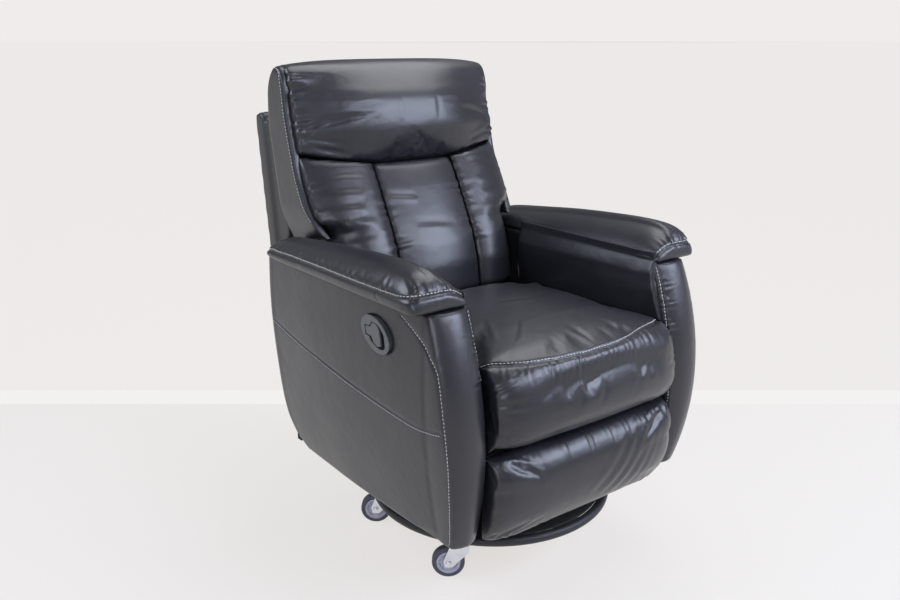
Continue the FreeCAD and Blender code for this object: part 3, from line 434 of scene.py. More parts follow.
def new_piece(name, mesh, material):
    piece = bpy.data.objects.new(name, mesh)
    bpy.context.scene.collection.objects.link(piece)
    mesh.materials.clear()
    mesh.materials.append(material)
    return piece


def joined(names):
    """One mesh made of the solids of several nodes."""
    points, faces = [], []
    for node in names:
        start = len(points)
        points += [tuple(vertex.co) for vertex in nodes[node].data.vertices]
        faces += [tuple(start + i for i in face.vertices) for face in nodes[node].data.polygons]
    return new_mesh("joined", points, faces)


def soft_copy(names, name, voxel, shrink=0.0, material=black_leather):
    """An evenly meshed copy of some CAD solids, drawn in a little before it swells."""
    piece = new_piece(name, joined(names), material)
    modify(piece, "REMESH", mode="VOXEL", voxel_size=voxel)
    if shrink:
        move_to(piece.data, coordinates(piece.data) - directions(piece.data) * shrink)
    return piece


def swell(piece, cap, hold):
    """Blow a closed piece up with Cloth, except where `hold` is true, by at most a cap."""
    pressure, cloth_frames = 4.0, 20
    before = coordinates(piece.data)
    held = piece.vertex_groups.new(name="held")
    held.add([int(i) for i in np.nonzero(hold(before))[0]], 1.0, "REPLACE")
    cloth = piece.modifiers.new("bag", "CLOTH")
    set_all(
        cloth.settings, quality=5, mass=0.3, tension_stiffness=12.0, compression_stiffness=12.0,
        bending_stiffness=0.6, use_pressure=True, uniform_pressure_force=pressure,
        vertex_group_mass="held")
    cloth.settings.effector_weights.gravity = 0.0
    set_all(cloth.point_cache, frame_start=1, frame_end=cloth_frames)
    scene = bpy.context.scene
    for step in range(1, cloth_frames + 1):
        scene.frame_set(step)
    settle(piece)
    scene.frame_set(1)
    move = coordinates(piece.data) - before
    length = np.linalg.norm(move, axis=1, keepdims=True)
    move *= np.minimum(1.0, cap / np.maximum(length, 1e-9))
    move_to(piece.data, before + move)
    piece.vertex_groups.clear()


def even_out(piece, rounds):
    """Relax a mesh towards its neighbours' average."""
    modify(piece, "SMOOTH", factor=0.5, iterations=rounds)


def refine(piece):
    """Split every face of a piece in four, rounded, with smooth shading."""
    modify(piece, "SUBSURF", levels=1, render_levels=1)
    shade_smooth(piece.data)


def keep_within(piece, low, high):
    """Hold a piece inside limits by axis, given as {axis: metres}."""
    points = coordinates(piece.data)
    for axis, limit in low.items():
        points[:, axis] = np.maximum(points[:, axis], limit)
    for axis, limit in high.items():
        points[:, axis] = np.minimum(points[:, axis], limit)
    move_to(piece.data, points)


# %% [markdown]
# Seams and gathers are sculpted after the swelling. Both follow a line of points: a seam is
# a narrow valley along it, gathers are short ridges that run away from it. `nearest` finds,
# for all vertices at once, how far each is from the line and how far along the line it lies.

# %% Seams and gathers
def lengths_along(points):
    """How far along a line each of its points lies."""
    return np.concatenate([[0.0], np.cumsum(np.linalg.norm(np.diff(points, axis=0), axis=1))])


def values_at(wanted, lengths, values):
    """Triples of numbers at some distances along a line."""
    return np.stack([np.interp(wanted, lengths, values[:, k]) for k in range(3)], axis=-1)


def curve_through(points, spacing):
    """A smooth run of points through a few given ones, evenly spaced."""
    given = np.array([tuple(p) for p in points], float)
    ends = np.vstack([2 * given[0] - given[1], given, 2 * given[-1] - given[-2]])
    fine = []
    for i in range(1, len(ends) - 2):
        a, b, c, d = ends[i - 1], ends[i], ends[i + 1], ends[i + 2]
        for t in np.linspace(0.0, 1.0, 24, endpoint=False):
            fine.append(0.5 * (2 * b + (c - a) * t + (2 * a - 5 * b + 4 * c - d) * t ** 2
                               + (3 * b - 3 * c + d - a) * t ** 3))
    fine = np.array(fine + [given[-1]])
    lengths = lengths_along(fine)
    wanted = np.linspace(0.0, lengths[-1], max(3, int(lengths[-1] / spacing) + 1))
    return values_at(wanted, lengths, fine)


def nearest(points, line, reach):
    """Which points lie within a reach of a line, how far each is, and how far along."""
    low, high = line.min(0) - reach, line.max(0) + reach
    close = np.nonzero(((points > low) & (points < high)).all(1))[0]
    some = points[close]
    start, step = line[:-1], np.diff(line, axis=0)
    square = np.maximum((step ** 2).sum(1), 1e-12)
    lengths = np.concatenate([[0.0], np.cumsum(np.sqrt(square))])
    best = np.full(len(some), 1e9)
    along = np.zeros(len(some))
    for i in range(len(start)):
        offset = some - start[i]
        share = np.clip(offset @ step[i] / square[i], 0.0, 1.0)
        distance = np.linalg.norm(offset - share[:, None] * step[i], axis=1)
        closer = distance < best
        best[closer] = distance[closer]
        along[closer] = lengths[i] + share[closer] * math.sqrt(square[i])
    return close, best, along, lengths[-1]


def push(piece, close, move):
    """Move some vertices along their normals."""
    here = coordinates(piece.data)
    here[close] += directions(piece.data)[close] * move[:, None]
    move_to(piece.data, here)


def press_seam(piece, points, width, depth):
    """A valley along a line, also painted on the `seam` attribute that the leather turns into painted shade.
    """
    line = curve_through(points, 0.006)
    close, distance = nearest(coordinates(piece.data), line, 3 * width)[:2]
    push(piece, close, -depth * np.exp(-(distance / width) ** 2))
    layer = piece.data.attributes.get("seam") or piece.data.attributes.new("seam", "FLOAT", "POINT")
    values = np.zeros(len(piece.data.vertices), dtype=np.float32)
    layer.data.foreach_get("value", values)
    values[close] = np.maximum(values[close], np.exp(-(distance / (0.6 * width)) ** 2))
    layer.data.foreach_set("value", values)


def gather(piece, points, spacing, reach, height, seed):
    """Short puckers that run away from a line and die out."""
    line = curve_through(points, 0.008)
    close, distance, along, total = nearest(coordinates(piece.data), line, 2.4 * reach)
    turn = 2 * math.pi * along / spacing
    uneven = 0.6 + 0.4 * np.sin(turn * 0.23 + 2 * seed)
    wave = np.sin(turn + 1.3 * np.sin(turn * 0.37 + seed) + seed) * uneven
    length = reach * (0.65 + 0.35 * np.sin(turn * 0.31 + 3 * seed))
    fade = np.exp(-(distance / length) ** 2) * np.clip(distance / 0.004, 0.0, 1.0)
    ends = np.clip(along / 0.02, 0, 1) * np.clip((total - along) / 0.02, 0, 1)
    push(piece, close, height * wave * fade * ends)


def fold(piece, start, end, width, height):
    """One soft fold between two points: a ridge beside a shallow valley."""
    line = np.array([tuple(start), tuple(end)], float)
    here = coordinates(piece.data)
    close, distance, along, total = nearest(here, line, 3.5 * width)
    axis = (line[1] - line[0]) / total
    across = np.cross(axis, directions(piece.data)[close])
    side = np.einsum("ij,ij->i", here[close] - line[0], across)
    taper = np.sin(np.pi * np.clip(along / total, 0.0, 1.0)) ** 0.7
    ridge = np.exp(-((side - 0.4 * width) / width) ** 2)
    valley = np.exp(-((side + 0.6 * width) / width) ** 2)
    near = np.exp(-(distance / (2.2 * width)) ** 2)
    push(piece, close, height * (ridge - valley) * near * taper)


def folds(piece, rows):
    """Several folds, from rows of start, end, width and height in millimetres."""
    for start, end, width, height in rows:
        fold(piece, place(*start), place(*end), width / 1000, height / 1000)


print("sculpting helpers ready")

# %% [markdown]
# Stitches are real: short rounded threads that dip into the leather at both ends. A line is
# first laid on the surface of its piece, then one thread is set down for every stitch.
# All the threads of one seam make one object that moves with the same body.

# %% Lines on a surface and stitches
thread_radius = 0.0009
stitch_length = 0.0060
stitch_gap = 0.0018
stitch_lift = 0.0004


def trace(piece, points, spacing=0.003):
    """A smooth line through points, laid on the surface of a piece."""
    skin = BVHTree.FromPolygons(
        [v.co.copy() for v in piece.data.vertices], [tuple(p.vertices) for p in piece.data.polygons])
    laid, facing = [], []
    for point in curve_through(points, spacing):
        spot, normal = skin.find_nearest(Vector(point))[:2]
        laid.append(tuple(spot))
        facing.append(tuple(normal))
    laid = np.array(laid)
    facing = np.array(facing)
    for repeat in range(4):
        laid[1:-1] = 0.5 * laid[1:-1] + 0.25 * (laid[:-2] + laid[2:])
        facing[1:-1] = 0.5 * facing[1:-1] + 0.25 * (facing[:-2] + facing[2:])
    return laid, facing / np.maximum(np.linalg.norm(facing, axis=1, keepdims=True), 1e-9)


def stitch_shape():
    """One stitch along X: a thread that curves down into the leather at both ends."""
    rings, points, faces = 6, [], []
    for i in range(rings):
        share = i / (rings - 1)
        x = (share - 0.5) * stitch_length
        sink = -1.3 * thread_radius * abs(2 * share - 1) ** 3
        size = thread_radius * (1.0 if 0 < i < rings - 1 else 0.55)
        for k in range(6):
            angle = math.pi / 3 * k
            points.append((x, size * math.cos(angle), sink + size * math.sin(angle)))
    for i in range(rings - 1):
        for k in range(6):
            faces.append((6 * i + k, 6 * i + (k + 1) % 6, 6 * i + 6 + (k + 1) % 6, 6 * i + 6 + k))
    faces.append(tuple(range(5, -1, -1)))
    faces.append(tuple(range(6 * rings - 6, 6 * rings)))
    return np.array(points), faces


def stitch(name, piece, points, body):
    """Threads along a line on a piece, as one object that rides on a body."""
    laid, facing = trace(piece, points, 0.002)
    lengths = lengths_along(laid)
    shape, shape_faces = stitch_shape()
    count = int(lengths[-1] / (stitch_length + stitch_gap))
    all_points, all_faces = [], []
    for i in range(count):
        middle = (i + 0.5) * lengths[-1] / count
        along = values_at(middle + 0.002, lengths, laid) - values_at(middle - 0.002, lengths, laid)
        along /= max(np.linalg.norm(along), 1e-9)
        up = values_at(middle, lengths, facing)
        up = up - along * (up @ along)
        up /= max(np.linalg.norm(up), 1e-9)
        turned = shape @ np.array([along, np.cross(up, along), up])
        all_points.append(values_at(middle, lengths, laid) + up * stitch_lift + turned)
        all_faces.extend(tuple(i * len(shape) + k for k in face) for face in shape_faces)
    mesh = new_mesh(name, [tuple(p) for p in np.vstack(all_points)], all_faces)
    shade_smooth(mesh)
    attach(new_piece(name, mesh, pale_thread), body)


def flipped(points):
    """The same points on the other side of the chair."""
    return [Vector((-p[0], p[1], p[2])) for p in points]


def shifted(points, *step):
    """The same points moved by a step in metres."""
    return [Vector(p) + Vector(step) for p in points]


def run(*numbers):
    """Several places from x, y, z triples in millimetres."""
    return [place(*triple) for triple in numbers]


def mirrored_copy(piece, name):
    """The same piece for the other side of the chair."""
    mesh = piece.data.copy()
    mesh.transform(Matrix.Scale(-1.0, 4, (1.0, 0.0, 0.0)))
    mesh.flip_normals()
    return new_piece(name, mesh, piece.data.materials[0])


def finish_cushion(piece, body, fill, *names, slot="leather"):
    """Hide the CAD parts that a soft piece stands for and hang it on the body it rides on; how full it is,
    `fill`, is not used.
    """
    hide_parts(*names)
    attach(piece, body)


print("stitch helpers ready")

# %% [markdown]
# The seat cushion is one bag with a rounded front roll. Its stitched line runs across just
# behind the roll, bowed forwards in the middle. The roll is gathered along that line, and
# the flat top has a few shallow wrinkles where someone has sat.

# %% Seat cushion
seat = soft_copy(["seat_cushion"], "seat_leather", 0.0075, 0.002)
seat_floor = seat_low.z + 0.052
seat_rear = seat_high.y - 0.012


def seat_held(points):
    under = (points[:, Z] < seat_floor) & (points[:, Y] > seat_low.y + 0.05)
    return under | (points[:, Y] > seat_rear)


swell(seat, 0.012, seat_held)
keep_within(
    seat, {X: seat_low.x - 0.0005, Y: seat_low.y - 0.006, Z: seat_low.z - 0.002},
    {X: seat_high.x + 0.0005})
seat_line = run(
    (-262, -262, 576), (-246, -283, 580), (-198, -318, 582), (-150, -337, 583), (-84, -352, 583),
    (-12, -356, 583), (60, -350, 583), (139, -327, 582), (200, -310, 581), (250, -288, 579),
    (262, -270, 576))
refine(seat)
laid_seat = trace(seat, seat_line)[0]
below_seam = np.array([0.0, -0.012, -0.012])
press_seam(seat, laid_seat[::3], 0.005, 0.0045)
gather(seat, laid_seat[::3] + below_seam, 0.017, 0.022, 0.0016, 1.0)
gather(seat, run((-262, -305, 565), (-262, -345, 520), (-262, -350, 440)), 0.020, 0.045, 0.0022, 2.0)
gather(seat, run((262, -305, 565), (262, -345, 520), (262, -350, 440)), 0.022, 0.040, 0.0020, 4.0)
seat_folds = [
    ((-190, -230, 596), (-120, -120, 604), 9, 1.4), ((-150, -260, 594), (-70, -180, 604), 8, 1.2),
    ((40, -250, 598), (130, -160, 604), 9, 1.3), ((120, -260, 596), (200, -190, 598), 8, 1.2),
    ((-60, -60, 604), (60, -90, 604), 12, 1.2), ((150, -80, 600), (225, -20, 598), 10, 1.4),
    ((-220, -90, 600), (-160, -20, 602), 10, 1.3)]
folds(seat, seat_folds)
finish_cushion(seat, "seat", 0.8, "seat_cushion")
stitch("stitches_seat_front", seat, shifted(laid_seat[::4], 0, 0.005, 0.001), "seat")
print("seat:", len(seat.data.vertices), "points,", len(seat_folds), "folds")

# %% [markdown]
# The footrest panel hangs below the seat roll. Its leather is drawn in at the top, so a few
# long soft ripples run down from there and bend towards the middle.

# %% Footrest cushion
foot = soft_copy(["footrest_cushion"], "footrest_leather", 0.006, 0.001)
foot_low, foot_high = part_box("footrest_cushion")
swell(foot, 0.008, lambda points: points[:, Y] > foot_high.y - 0.012)
keep_within(
    foot, {X: foot_low.x, Y: foot_low.y - 0.004, Z: foot_low.z - 0.001},
    {X: foot_high.x, Z: foot_high.z + 0.002})
refine(foot)
gather(foot, run((-260, -325, 386), (-100, -340, 388), (0, -343, 388), (120, -340, 388), (260, -325, 386)),
       0.019, 0.030, 0.0018, 0.6)
gather(foot, run((-258, -310, 202), (0, -344, 200), (258, -310, 202)), 0.024, 0.020, 0.0012, 3.1)
folds(foot, [
    ((170, -330, 375), (60, -348, 215), 12, 2.4), ((150, -335, 378), (20, -350, 230), 13, 2.4),
    ((190, -325, 370), (110, -345, 215), 11, 2.0), ((120, -340, 378), (-20, -350, 250), 14, 1.8),
    ((210, -322, 368), (150, -338, 220), 10, 1.6), ((-235, -325, 372), (-180, -340, 330), 9, 2.2),
    ((-215, -328, 378), (-150, -343, 345), 9, 1.8)])
finish_cushion(foot, "footrest", 0.7, "footrest_cushion")
print("footrest:", len(foot.data.vertices), "points")

# %% [markdown]
# The lower back has three upright channels. Each is its own filled bag, tied down along the
# two seams between them, so the seams show as deep valleys. The outer channels have a fan
# of diagonal wrinkles below the head cushion.

# %% Back channels
side_edge = -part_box("back_side_left")[0].x
outer_start = 0.200
outer_reach = 0.014
back_edge = run(
    (-303, 446, 1120), (-303, 424, 1117), (-304, 408, 1104), (-304, 399, 1060), (-304, 392, 1010),
    (-304, 382, 965), (-304, 365, 905), (-304, 350, 860), (-304, 322, 805), (-303, 290, 764))


def back_edge_y(z):
    """Depth of the front edge of the side panels at a height."""
    line = np.array([tuple(p) for p in back_edge])
    order = np.argsort(line[:, Z])
    return np.interp(z, line[order, Z], line[order, Y])


def spread_out(piece, forward, low_end):
    """Carry the outer part of a cushion out to the seam with the side panel."""
    fade_height, fade_depth = 0.045, 0.050
    points = coordinates(piece.data)
    beyond = np.clip((np.abs(points[:, X]) - outer_start) / (side_edge - outer_start), 0.0, 1.0)
    lift = np.clip((points[:, Z] - low_end) / fade_height, 0.0, 1.0)
    share = beyond * lift * lift * (3 - 2 * lift)
    behind_edge = back_edge_y(points[:, Z]) + fade_depth
    front = np.clip((behind_edge - points[:, Y]) / fade_depth, 0.0, 1.0)
    points[:, X] += np.sign(points[:, X]) * outer_reach * share
    points[:, Y] -= forward * share * beyond * front
    move_to(piece.data, points)


def channel(node, name):
    """One upright channel of the lower back."""
    piece = soft_copy([node], name, 0.007, 0.0015)
    low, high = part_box(node)

    def held(points):
        rim = (points[:, X] < low.x + 0.006) | (points[:, X] > high.x - 0.006)
        return rim | (points[:, Z] < low.z + 0.02) | (points[:, Z] > high.z - 0.015)

    swell(piece, 0.010, held)
    keep_within(piece, {X: low.x - 0.0004, Z: low.z - 0.004}, {X: high.x + 0.0004, Z: high.z + 0.001})
    refine(piece)
    return piece


middle_channel = channel("lumbar_centre", "lumbar_leather_centre")
left_channel = channel("lumbar_left", "lumbar_leather_left")
spread_out(left_channel, 0.010, place(0, 0, 745).z)
gather(left_channel, run((-121, 330, 880), (-121, 265, 800), (-121, 200, 680)), 0.024, 0.030, 0.0020, 0.4)
gather(left_channel, run((-284, 360, 880), (-284, 310, 790), (-284, 250, 710)), 0.028, 0.030, 0.0018, 1.7)
folds(left_channel, [
    ((-262, 350, 880), (-150, 310, 888), 10, 2.4), ((-265, 338, 850), (-160, 290, 862), 10, 2.6),
    ((-268, 322, 818), (-170, 272, 828), 11, 2.6), ((-262, 300, 785), (-180, 248, 800), 11, 2.2),
    ((-250, 280, 755), (-165, 225, 772), 12, 1.8), ((-240, 250, 715), (-180, 205, 735), 12, 1.6)])
right_channel = mirrored_copy(left_channel, "lumbar_leather_right")
gather(middle_channel, run((-117, 330, 870), (-117, 265, 790), (-117, 200, 680)), 0.030, 0.030, 0.0016, 2.4)
gather(middle_channel, run((117, 330, 870), (117, 265, 790), (117, 200, 680)), 0.026, 0.030, 0.0016, 5.0)
folds(middle_channel, [
    ((-112, 268, 812), (-30, 258, 800), 9, 2.2), ((-60, 215, 745), (60, 205, 735), 14, 1.6)])
finish_cushion(middle_channel, "back", 0.8, "lumbar_centre")
finish_cushion(left_channel, "back", 0.8, "lumbar_left")
finish_cushion(right_channel, "back", 0.8, "lumbar_right")
print("channels:", len(middle_channel.data.vertices), len(left_channel.data.vertices))

# %% [markdown]
# The head cushion is a full roll that hangs over the channels. Its ends are sewn to the
# side panels, where the leather is gathered into short level puckers.

# %% Head cushion
head = soft_copy(["head_cushion"], "head_leather", 0.007, 0.002)
head_low, head_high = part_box("head_cushion")


def head_held(points):
    rear = points[:, Y] > head_high.y - 0.030
    ends = np.abs(points[:, X]) > head_high.x - 0.006
    return rear | ends


def shape_roll(piece):
    """Fill the front of the roll out at its upper half and draw it in below."""
    full_height, full_width, full_by = place(0, 0, 1052).z, 0.052, 0.017
    drawn_height, drawn_width, drawn_by = place(0, 0, 928).z, 0.045, 0.012
    face = coordinates(piece.data)
    front = np.clip((head_low.y + 0.110 - face[:, Y]) / 0.060, 0.0, 1.0)
    inner = 1 - np.clip((np.abs(face[:, X]) - outer_start) / 0.09, 0.0, 1.0) ** 2
    bulge = -full_by * np.exp(-((face[:, Z] - full_height) / full_width) ** 2)
    bulge = bulge + drawn_by * np.exp(-((face[:, Z] - drawn_height) / drawn_width) ** 2)
    face[:, Y] += bulge * front * inner
    move_to(piece.data, face)


swell(head, 0.010, head_held)
keep_within(head, {X: head_low.x - 0.0003, Z: head_low.z - 0.004}, {X: head_high.x + 0.0003, Y: head_high.y})
spread_out(head, 0.006, place(0, 0, 800).z)
shape_roll(head)
refine(head)
for side in (-1, 1):
    front_end = run(
        (side * 283, 408, 1108), (side * 284, 385, 1040), (side * 284, 370, 980), (side * 284, 358, 922))
    top_end = run((side * 284, 412, 1112), (side * 284, 440, 1122), (side * 284, 470, 1112))
    gather(head, front_end, 0.024, 0.034, 0.0032, 0.7 + side)
    folds(head, [
        ((side * 272, 360, 928), (side * 170, 318, 905), 9, 2.6),
        ((side * 275, 364, 950), (side * 190, 322, 934), 8, 2.0)])
    gather(head, top_end, 0.022, 0.026, 0.0022, 1.9)
folds(head, [((-30, 330, 1050), (-34, 308, 985), 10, 1.1), ((70, 330, 1050), (68, 308, 985), 10, 1.1)])
finish_cushion(head, "back", 0.9, "head_cushion")
print("head:", len(head.data.vertices), "points")

# %% [markdown]
# The side panels of the back are smooth leather over thin foam. Each ends in a tail that is
# tucked in behind the arm. A line of pale stitches runs down the front edge, and turns back
# over the top corner.

# %% Side panels of the back
side_panel = soft_copy(["back_side_left"], "back_side_leather_left", 0.005, 0.0005)
even_out(side_panel, 3)


def tuck_tail(piece):
    """Draw the low end of a side panel down, forwards and in behind the arm."""
    tail_top, tail_length = place(0, 0, 800).z, 0.060
    down, forward, inwards = 0.026, 0.014, 0.024
    tail = coordinates(piece.data)
    drop = np.clip((tail_top - tail[:, Z]) / tail_length, 0.0, 1.0) ** 2
    tail[:, Z] -= down * drop
    tail[:, Y] -= forward * drop * np.clip((place(0, 330, 0).y - tail[:, Y]) / 0.05, 0.0, 1.0)
    tail[:, X] += np.where(tail[:, X] < 0, 1.0, -1.0) * inwards * drop
    move_to(piece.data, tail)


tuck_tail(side_panel)
refine(side_panel)
side_panel_right = mirrored_copy(side_panel, "back_side_leather_right")
finish_cushion(side_panel, "back", 0.5, "back_side_left")
finish_cushion(side_panel_right, "back", 0.5, "back_side_right")
thread_line = shifted(back_edge, -0.008, 0.009, 0.0)
stitch("stitches_back_left", side_panel, thread_line, "back")
stitch("stitches_back_right", side_panel_right, flipped(thread_line), "back")
print("side panels:", len(side_panel.data.vertices), "points each")

# %% [markdown]
# The outer back is a flat upholstered panel with a return at each side, and the lower rear
# of the box is closed with a second panel.

# %% Rear panels
rear_panels = []
for node, name, body, fill, rounds in (
        ("outer_back_panel", "outer_back_leather", "back", 0.4, 4),
        ("rear_lower_panel", "rear_lower_leather", "chair", 0.3, 3)):
    panel = soft_copy([node], name, 0.006, 0.0005, side_leather)
    even_out(panel, rounds)
    refine(panel)
    finish_cushion(panel, body, fill, node, slot="side_leather")
    rear_panels.append(panel)
print("rear panels:", [len(panel.data.vertices) for panel in rear_panels])

# %% [markdown]
# Inside the ring lies a black cloth disc. It is drawn as a fine sheet of rings and spokes
# that follows the CAD disc, with radial ripples where it is pulled towards the ring.

# %% Ring cover
cover_low, cover_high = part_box("ring_cover")
cover_radius = cover_high.x
cover_hole = 0.030


def cover_ripple(radius, angle):
    """How far the cloth stands up at a point: most near the ring, nothing at its edge."""
    pull = (radius / cover_radius) ** 2 * (1 - (radius / cover_radius) ** 24)
    ripple = math.sin(23 * angle + 2.1 * math.sin(3 * angle)) * math.sin(9 * angle + 40 * radius)
    return 0.0016 * pull * ripple + 0.0012 * math.sin(5 * angle + 31 * radius) * pull


def cover_mesh():
    """An upper and a lower sheet, joined at the hole and at the outer edge."""
    rings, spokes = 34, 220
    points, faces = [], []
    for level in (cover_high.z, cover_low.z):
        for radius in np.linspace(cover_hole, cover_radius - 0.0004, rings):
            for k in range(spokes):
                angle = 2 * math.pi * k / spokes
                x, y = radius * math.cos(angle), radius * math.sin(angle) + swivel_y
                points.append((x, y, level + cover_ripple(radius, angle)))
    half = rings * spokes
    for i in range(rings - 1):
        for k in range(spokes):
            a, b = i * spokes + k, i * spokes + (k + 1) % spokes
            faces.append((a, a + spokes, b + spokes, b))
            faces.append((half + a, half + b, half + b + spokes, half + a + spokes))
    for k in range(spokes):
        a, b = k, (k + 1) % spokes
        faces.append((a, b, half + b, half + a))
        a, b = a + (rings - 1) * spokes, b + (rings - 1) * spokes
        faces.append((a, half + a, half + b, b))
    mesh = new_mesh("ring_cloth", points, faces)
    shade_smooth(mesh)
    return mesh


ring_cloth = new_piece("ring_cloth", cover_mesh(), cloth_black)
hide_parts("ring_cover")
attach(ring_cloth, "base")
print("ring cloth:", len(ring_cloth.data.vertices), "points")

# %% [markdown]
# On top of each arm lies a full pad. Its lip hangs over the side and the front of the arm
# and is stitched all along. One more seam crosses the pad near the back, and a short one
# crosses the lip near the front. The pad leans away from the seat on its inner face.

# %% Arm pads
pad = soft_copy(["arm_pad_left"], "arm_pad_leather_left", 0.006, 0.001)
pad_left_low, pad_left_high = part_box("arm_pad_left")


def lean_inner_face(piece):
    """Lean the face beside the seat outwards towards its top."""
    inner_x, slope_width, slope_height = -0.290, 0.075, 0.075
    slope = coordinates(piece.data)
    rise = np.clip((slope[:, Z] - pad_left_low.z - 0.004) / slope_height, 0.0, 1.0)
    near_seat = np.clip((slope[:, X] - inner_x + slope_width) / slope_width, 0.0, 1.0)
    slope[:, X] -= (0.008 + 0.036 * rise ** 1.2) * near_seat ** 1.5
    move_to(piece.data, slope)


swell(pad, 0.006, lambda points: points[:, Z] < pad_left_low.z + 0.006)
keep_within(pad, {X: pad_left_low.x - 0.003, Z: pad_left_low.z - 0.0002}, {X: pad_left_high.x + 0.001})
lean_inner_face(pad)
refine(pad)
lip_line = run(
    (-380, 362, 706), (-402, 340, 712), (-410, 300, 714), (-410, 200, 716), (-410, 60, 717),
    (-410, -100, 718), (-410, -195, 720), (-404, -230, 722), (-385, -246, 724), (-350, -253, 726),
    (-310, -254, 726), (-282, -252, 720), (-266, -246, 706))
rear_seam = run(
    (-412, 262, 705), (-408, 266, 725), (-385, 272, 738), (-340, 280, 742), (-300, 284, 738),
    (-264, 288, 722))
lip_seam = run((-412, -136, 718), (-412, -140, 704), (-409, -150, 692))
front_edge = run((-400, -232, 738), (-360, -246, 742), (-300, -248, 740), (-272, -240, 728))
above_lip = np.array([0.006, 0.0, 0.012])
laid_lip = trace(pad, lip_line)[0]
press_seam(pad, laid_lip[::3], 0.0045, 0.0030)
press_seam(pad, rear_seam, 0.004, 0.003)
press_seam(pad, lip_seam, 0.0035, 0.003)
gather(pad, laid_lip[::3] + above_lip, 0.026, 0.016, 0.0010, 2.0)
gather(pad, front_edge, 0.018, 0.030, 0.0022, 0.5)
pad_right = mirrored_copy(pad, "arm_pad_leather_right")
finish_cushion(pad, "chair", 0.7, "arm_pad_left")
finish_cushion(pad_right, "chair", 0.7, "arm_pad_right")
stitched_lip = shifted(laid_lip[::4], 0.002, 0, 0.005)
stitch("stitches_arm_lip_left", pad, stitched_lip, "chair")
stitch("stitches_arm_lip_right", pad_right, flipped(stitched_lip), "chair")
print("arm pads:", len(pad.data.vertices), "points each")

# %% [markdown]
# The side and the front of an arm are one skin over the frame. Two stitched seams run down
# the front, the outer one from the side just below the pad, and a diagonal seam crosses the
# side to meet it. The cup of the handle stays open.

# %% Arm sides and fronts
outer_seam = run(
    (-378, -172, 671), (-378, -182, 668), (-377, -215, 650), (-374, -243, 631), (-372, -268, 602),
    (-371, -285, 574), (-371, -301, 482), (-371, -309, 402), (-370, -304, 316), (-364, -291, 234),
    (-360, -284, 206))
inner_seam = run(
    (-271, -252, 684), (-271, -266, 646), (-271, -288, 571), (-271, -303, 482), (-271, -310, 402),
    (-271, -305, 316), (-271, -286, 214))
side_seam = run(
    (-376, 369, 529), (-381, 244, 507), (-384, 23, 478), (-380, -166, 459), (-377, -238, 458),
    (-373, -290, 467))
beside_inner = run((-276, -262, 676), (-276, -280, 620), (-276, -300, 530))
beside_outer = run((-368, -225, 655), (-366, -262, 615), (-366, -288, 560))
front_line = place(0, -244, 0).y


def fill_front(piece):
    """Fill the front of an arm out between its two seams."""
    seam_x, front_width, fullness = 0.271, 0.100, 0.004
    skin = coordinates(piece.data)
    out = directions(piece.data)
    across = np.clip((np.abs(skin[:, X]) - seam_x) / front_width, 0.0, 1.0)
    ahead = np.clip((front_line - skin[:, Y]) / 0.020, 0.0, 1.0)
    full = fullness * np.sin(np.pi * across) * ahead * np.clip(-out[:, Y], 0.0, 1.0)
    move_to(piece.data, skin + out * full[:, None])


arm_shells = []
for side_name, turned in (("left", list), ("right", flipped)):
    both = ("arm_body_" + side_name, "arm_front_" + side_name)
    shell = soft_copy(both, "arm_leather_" + side_name, 0.0055)
    even_out(shell, 3)
    fill_front(shell)
    refine(shell)
    press_seam(shell, turned(outer_seam), 0.0042, 0.0026)
    press_seam(shell, turned(inner_seam), 0.0040, 0.0022)
    press_seam(shell, turned(side_seam), 0.0042, 0.0024)
    gather(shell, turned(beside_inner), 0.016, 0.022, 0.0018, 1.2)
    gather(shell, turned(beside_outer), 0.022, 0.024, 0.0009, 2.2)
    finish_cushion(shell, "chair", 0.4, *both)
    stitch("stitches_front_outer_" + side_name, shell, turned(outer_seam), "chair")
    stitch("stitches_front_inner_" + side_name, shell, turned(inner_seam), "chair")
    stitch("stitches_side_" + side_name, shell, shifted(turned(side_seam), 0, 0, -0.005), "chair")
    arm_shells.append(shell)
print("arm shells:", [len(piece.data.vertices) for piece in arm_shells])

# %% [markdown]
# Inside each arm the leather runs from the pad down into the seat in one soft bulge, and
# turns round the front corner to the inner seam. It is swept as a grid: rows go down the
# arm, columns go forwards, and the corner is a quarter circle.

# %% Arm insides
inner_top, inner_low = place(0, 0, 716).z, place(0, 0, 560).z
inner_rear, inner_front = place(0, 205, 0).y, place(0, -236, 0).y
inner_x = 0.2668
corner_radius = 0.010
skin_thickness = 0.0035


def inner_bulge(down):
    """How far the leather stands out towards the seat, by the share of the way down."""
    above = max(0.0, (0.346 - down) / 0.179)
    below = max(0.0, (down - 0.5) / 0.5)
    return 0.0084 - 0.0092 * min(above, 1.25) ** 1.4 - 0.0080 * below ** 1.2


def inner_puff(y, z, along, down):
    """Small waves in the leather, stronger near the front, fading at the top and below."""
    wave = math.sin
    pull = math.exp(-((1.0 - along) / 0.16) ** 2)
    ripple = wave(95 * z + 2.0 * wave(21 * y)) * wave(37 * z + 11 * y + 1.3)
    puff = 0.0016 * pull * ripple + 0.0009 * wave(17 * y + 3) * wave(31 * z)
    return puff * math.sin(math.pi * min(1.0, down * 1.4 + 0.02)) ** 0.5


